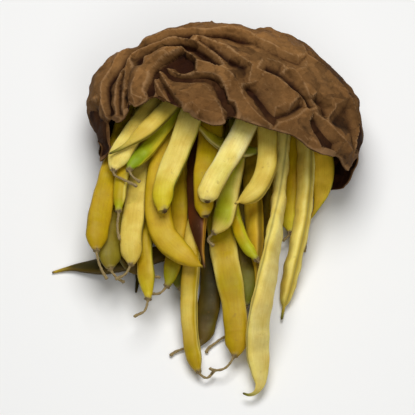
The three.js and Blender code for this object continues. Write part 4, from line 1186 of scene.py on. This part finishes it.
def bag_points(looks):
    """Points of the crumpled bag, rings by turns, with its lengths, creases and the depths that set the
    painted shade of its hollows and inside, in mm.
    """
    points, angle, lengths = bag_shell(looks)
    points = fit_outline(points)
    normals = grid_normals(points)
    normals[0], normals[-1] = (0, 1, 0), (0, -1, 0)
    outer = looks.rings
    wide = bag_section(angle, np.ones_like(angle), np.zeros_like(angle))[0][:, [0, 2]]
    around = lengths_along(np.vstack([wide, wide[:1]]))
    girth = around[-1]
    around = np.broadcast_to(around[:-1], lengths.shape)
    facing = smoothstep(-0.1, 0.35, normals[:outer] @ TO_VIEWER)
    traced = relief_heights(points[:outer])
    folds = traced * facing
    up = np.sin(angle)[None, :]
    facets = crumple_heights(looks, around, lengths, girth)
    facets *= smoothstep(4, 20, lengths) * (0.2 + 0.8 * smoothstep(-0.95, -0.4, up))
    facets[:outer] *= 1 - 0.35 * facing
    height = folds + facets[:outer]
    move = np.zeros_like(points)
    move[:outer] = height[..., None] * normals[:outer]
    from_lip = lengths[outer - 1][None, :] - lengths[outer:]
    follow = np.exp(-from_lip / LINING_FOLLOW)
    own = 0.6 * (1 - follow) * facets[outer:]
    move[outer:] = follow[..., None] * move[outer - 1] - own[..., None] * normals[outer:]
    points = points + move
    points[..., 2] = np.maximum(points[..., 2], 0)
    points[0], points[-1] = points[0].mean(axis=0), points[-1].mean(axis=0)
    # Painted shade: the whole inside is painted dark, and the outer wall darker the lower it lies below its
    # surroundings and its traced folds, lighter where it stands over them.
    hollow_shade = np.full(lengths.shape, INSIDE_SHADE)
    seen = smoothstep(-0.3, 0.05, normals[:outer] @ TO_VIEWER)
    bumps = traced * seen + facets[:outer]
    hollow_shade[:outer] = softened(0.6 * (softened(bumps, 40) - bumps) - 0.3 * traced * seen, 1)
    return points, lengths, creases(points), hollow_shade


class BUNDLE_OT_lay_bean_pods(bpy.types.Operator):
    """Builds each bean pod along the route of its CAD solid"""

    bl_idname = "bundle.lay_bean_pods"
    bl_label = "Lay bean pods"
    bl_options = {"REGISTER", "UNDO"}

    def execute(self, context):
        looks = context.scene.bean_looks
        skins = {}
        for seed, (node, pod) in enumerate(PODS.items()):
            slot = pod[0]
            skins[slot] = skins.get(slot) or pod_skin(slot, looks)
            route = PodRoute(node)
            points, distances, turns, seam = pod_points(route, looks, seed)
            lengths = np.repeat(distances[:, None], len(turns), axis=1)
            name = node.replace("bean", "pod")
            piece, ring, turn = ring_sphere(name, len(distances), points, lengths, POD_GIRTH)
            paint_pod(piece.data, route, looks, pod, seed, ring, turn, distances, turns, seam, points)
            piece.data.materials.append(skins[slot])
            finish_piece(piece, slot, node)
        return {"FINISHED"}


class BUNDLE_OT_crumple_paper_bag(bpy.types.Operator):
    """Builds the paper bag with its folds, and crumples it"""

    bl_idname = "bundle.crumple_paper_bag"
    bl_label = "Crumple paper bag"
    bl_options = {"REGISTER", "UNDO"}

    def execute(self, context):
        looks = context.scene.bag_looks
        points, lengths, crease, hollow_shade = bag_points(looks)
        piece, ring, turn = ring_sphere("crumpled_paper_bag", len(points), points, lengths, BAG_GIRTH)
        bpy.ops.object.shade_smooth_by_angle(angle=CREASE_ANGLE)
        store(piece.data, "crease", np.clip(crease[ring, turn] / CREASE_HEIGHT, -1, 1))
        store(piece.data, "hollow_shade", np.clip(hollow_shade[ring, turn] / SHADE_DEPTH, -1, 1))
        piece.data.materials.append(kraft_paper(looks))
        finish_piece(piece, "kraft_paper", "paper_bag")
        return {"FINISHED"}


class BUNDLE_OT_set_stage(bpy.types.Operator):
    """Adds the plain floor, the soft lights and the camera"""

    bl_idname = "bundle.set_stage"
    bl_label = "Set stage"
    bl_options = {"REGISTER", "UNDO"}

    def execute(self, context):
        looks = context.scene.stage_looks
        bpy.ops.object.select_all(action="DESELECT")
        bpy.ops.mesh.primitive_plane_add(size=FLOOR_SIZE, location=(0, 0, -FLOOR_GAP))
        floor = context.active_object
        floor.name = "floor"
        floor.data.materials.append(plain("pale_floor", tuple(looks.floor_colour), 0.7))
        self.add_light("key_light", KEY_PLACE, looks.key_power)
        self.add_light("fill_light", FILL_PLACE, looks.fill_power)
        world = bpy.data.worlds.new("soft_studio")
        world.use_nodes = True
        background = world.node_tree.nodes["Background"]
        background.inputs["Color"].default_value = (1, 1, 1, 1)
        background.inputs["Strength"].default_value = looks.surroundings
        context.scene.world = world
        context.scene.view_settings.view_transform = "Standard"
        self.add_camera(context, looks)
        return {"FINISHED"}

    @staticmethod
    def add_light(name, place, power):
        bpy.ops.object.light_add(type="AREA", location=place)
        light = bpy.context.active_object
        light.name = name
        light.data.energy = power
        light.data.shape = "DISK"
        light.data.size = LIGHT_SIZE
        light.rotation_euler = (-Vector(place)).to_track_quat("-Z", "Y").to_euler()

    @staticmethod
    def add_camera(context, looks):
        bpy.ops.object.camera_add(location=(0, 0, 0))
        camera = context.active_object
        camera.name = "camera"
        camera.data.lens = looks.lens
        camera.data.sensor_width = SENSOR_WIDTH
        aim = Vector(AIM) + Vector(PLANE_ORIGIN * MM)
        distance = looks.view_width * looks.lens / camera.data.sensor_width
        camera.location = aim + Vector(TO_VIEWER) * distance
        camera.rotation_euler = (CAMERA_TILT, 0, 0)
        camera.data.clip_start, camera.data.clip_end = CLIP
        context.scene.camera = camera


class BUNDLE_PT_panel(bpy.types.Panel):
    """Lists the steps and what they can be changed by"""

    bl_idname = "BUNDLE_PT_panel"
    bl_label = "Bean bundle"
    bl_space_type = "VIEW_3D"
    bl_region_type = "UI"
    bl_category = "Bundle"

    def draw(self, context):
        scene = context.scene
        steps = (
            (BUNDLE_OT_lay_bean_pods, scene.bean_looks),
            (BUNDLE_OT_crumple_paper_bag, scene.bag_looks),
            (BUNDLE_OT_set_stage, scene.stage_looks),
        )
        for step, looks in steps:
            box = self.layout.box()
            box.operator(step.bl_idname)
            for name in looks.__annotations__:
                box.prop(looks, name)


CLASSES = (
    BeanLooks, BagLooks, StageLooks,
    BUNDLE_OT_lay_bean_pods, BUNDLE_OT_crumple_paper_bag, BUNDLE_OT_set_stage, BUNDLE_PT_panel,
)


def register():
    for cls in CLASSES:
        bpy.utils.register_class(cls)
    bpy.types.Scene.bean_looks = PointerProperty(type=BeanLooks)
    bpy.types.Scene.bag_looks = PointerProperty(type=BagLooks)
    bpy.types.Scene.stage_looks = PointerProperty(type=StageLooks)


def unregister():
    del bpy.types.Scene.bean_looks
    del bpy.types.Scene.bag_looks
    del bpy.types.Scene.stage_looks
    for cls in reversed(CLASSES):
        bpy.utils.unregister_class(cls)


def main():
    register()
    bpy.ops.bundle.lay_bean_pods()
    bpy.ops.bundle.crumple_paper_bag()
    bpy.ops.bundle.set_stage()
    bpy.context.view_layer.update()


if __name__ == "__main__":
    main()
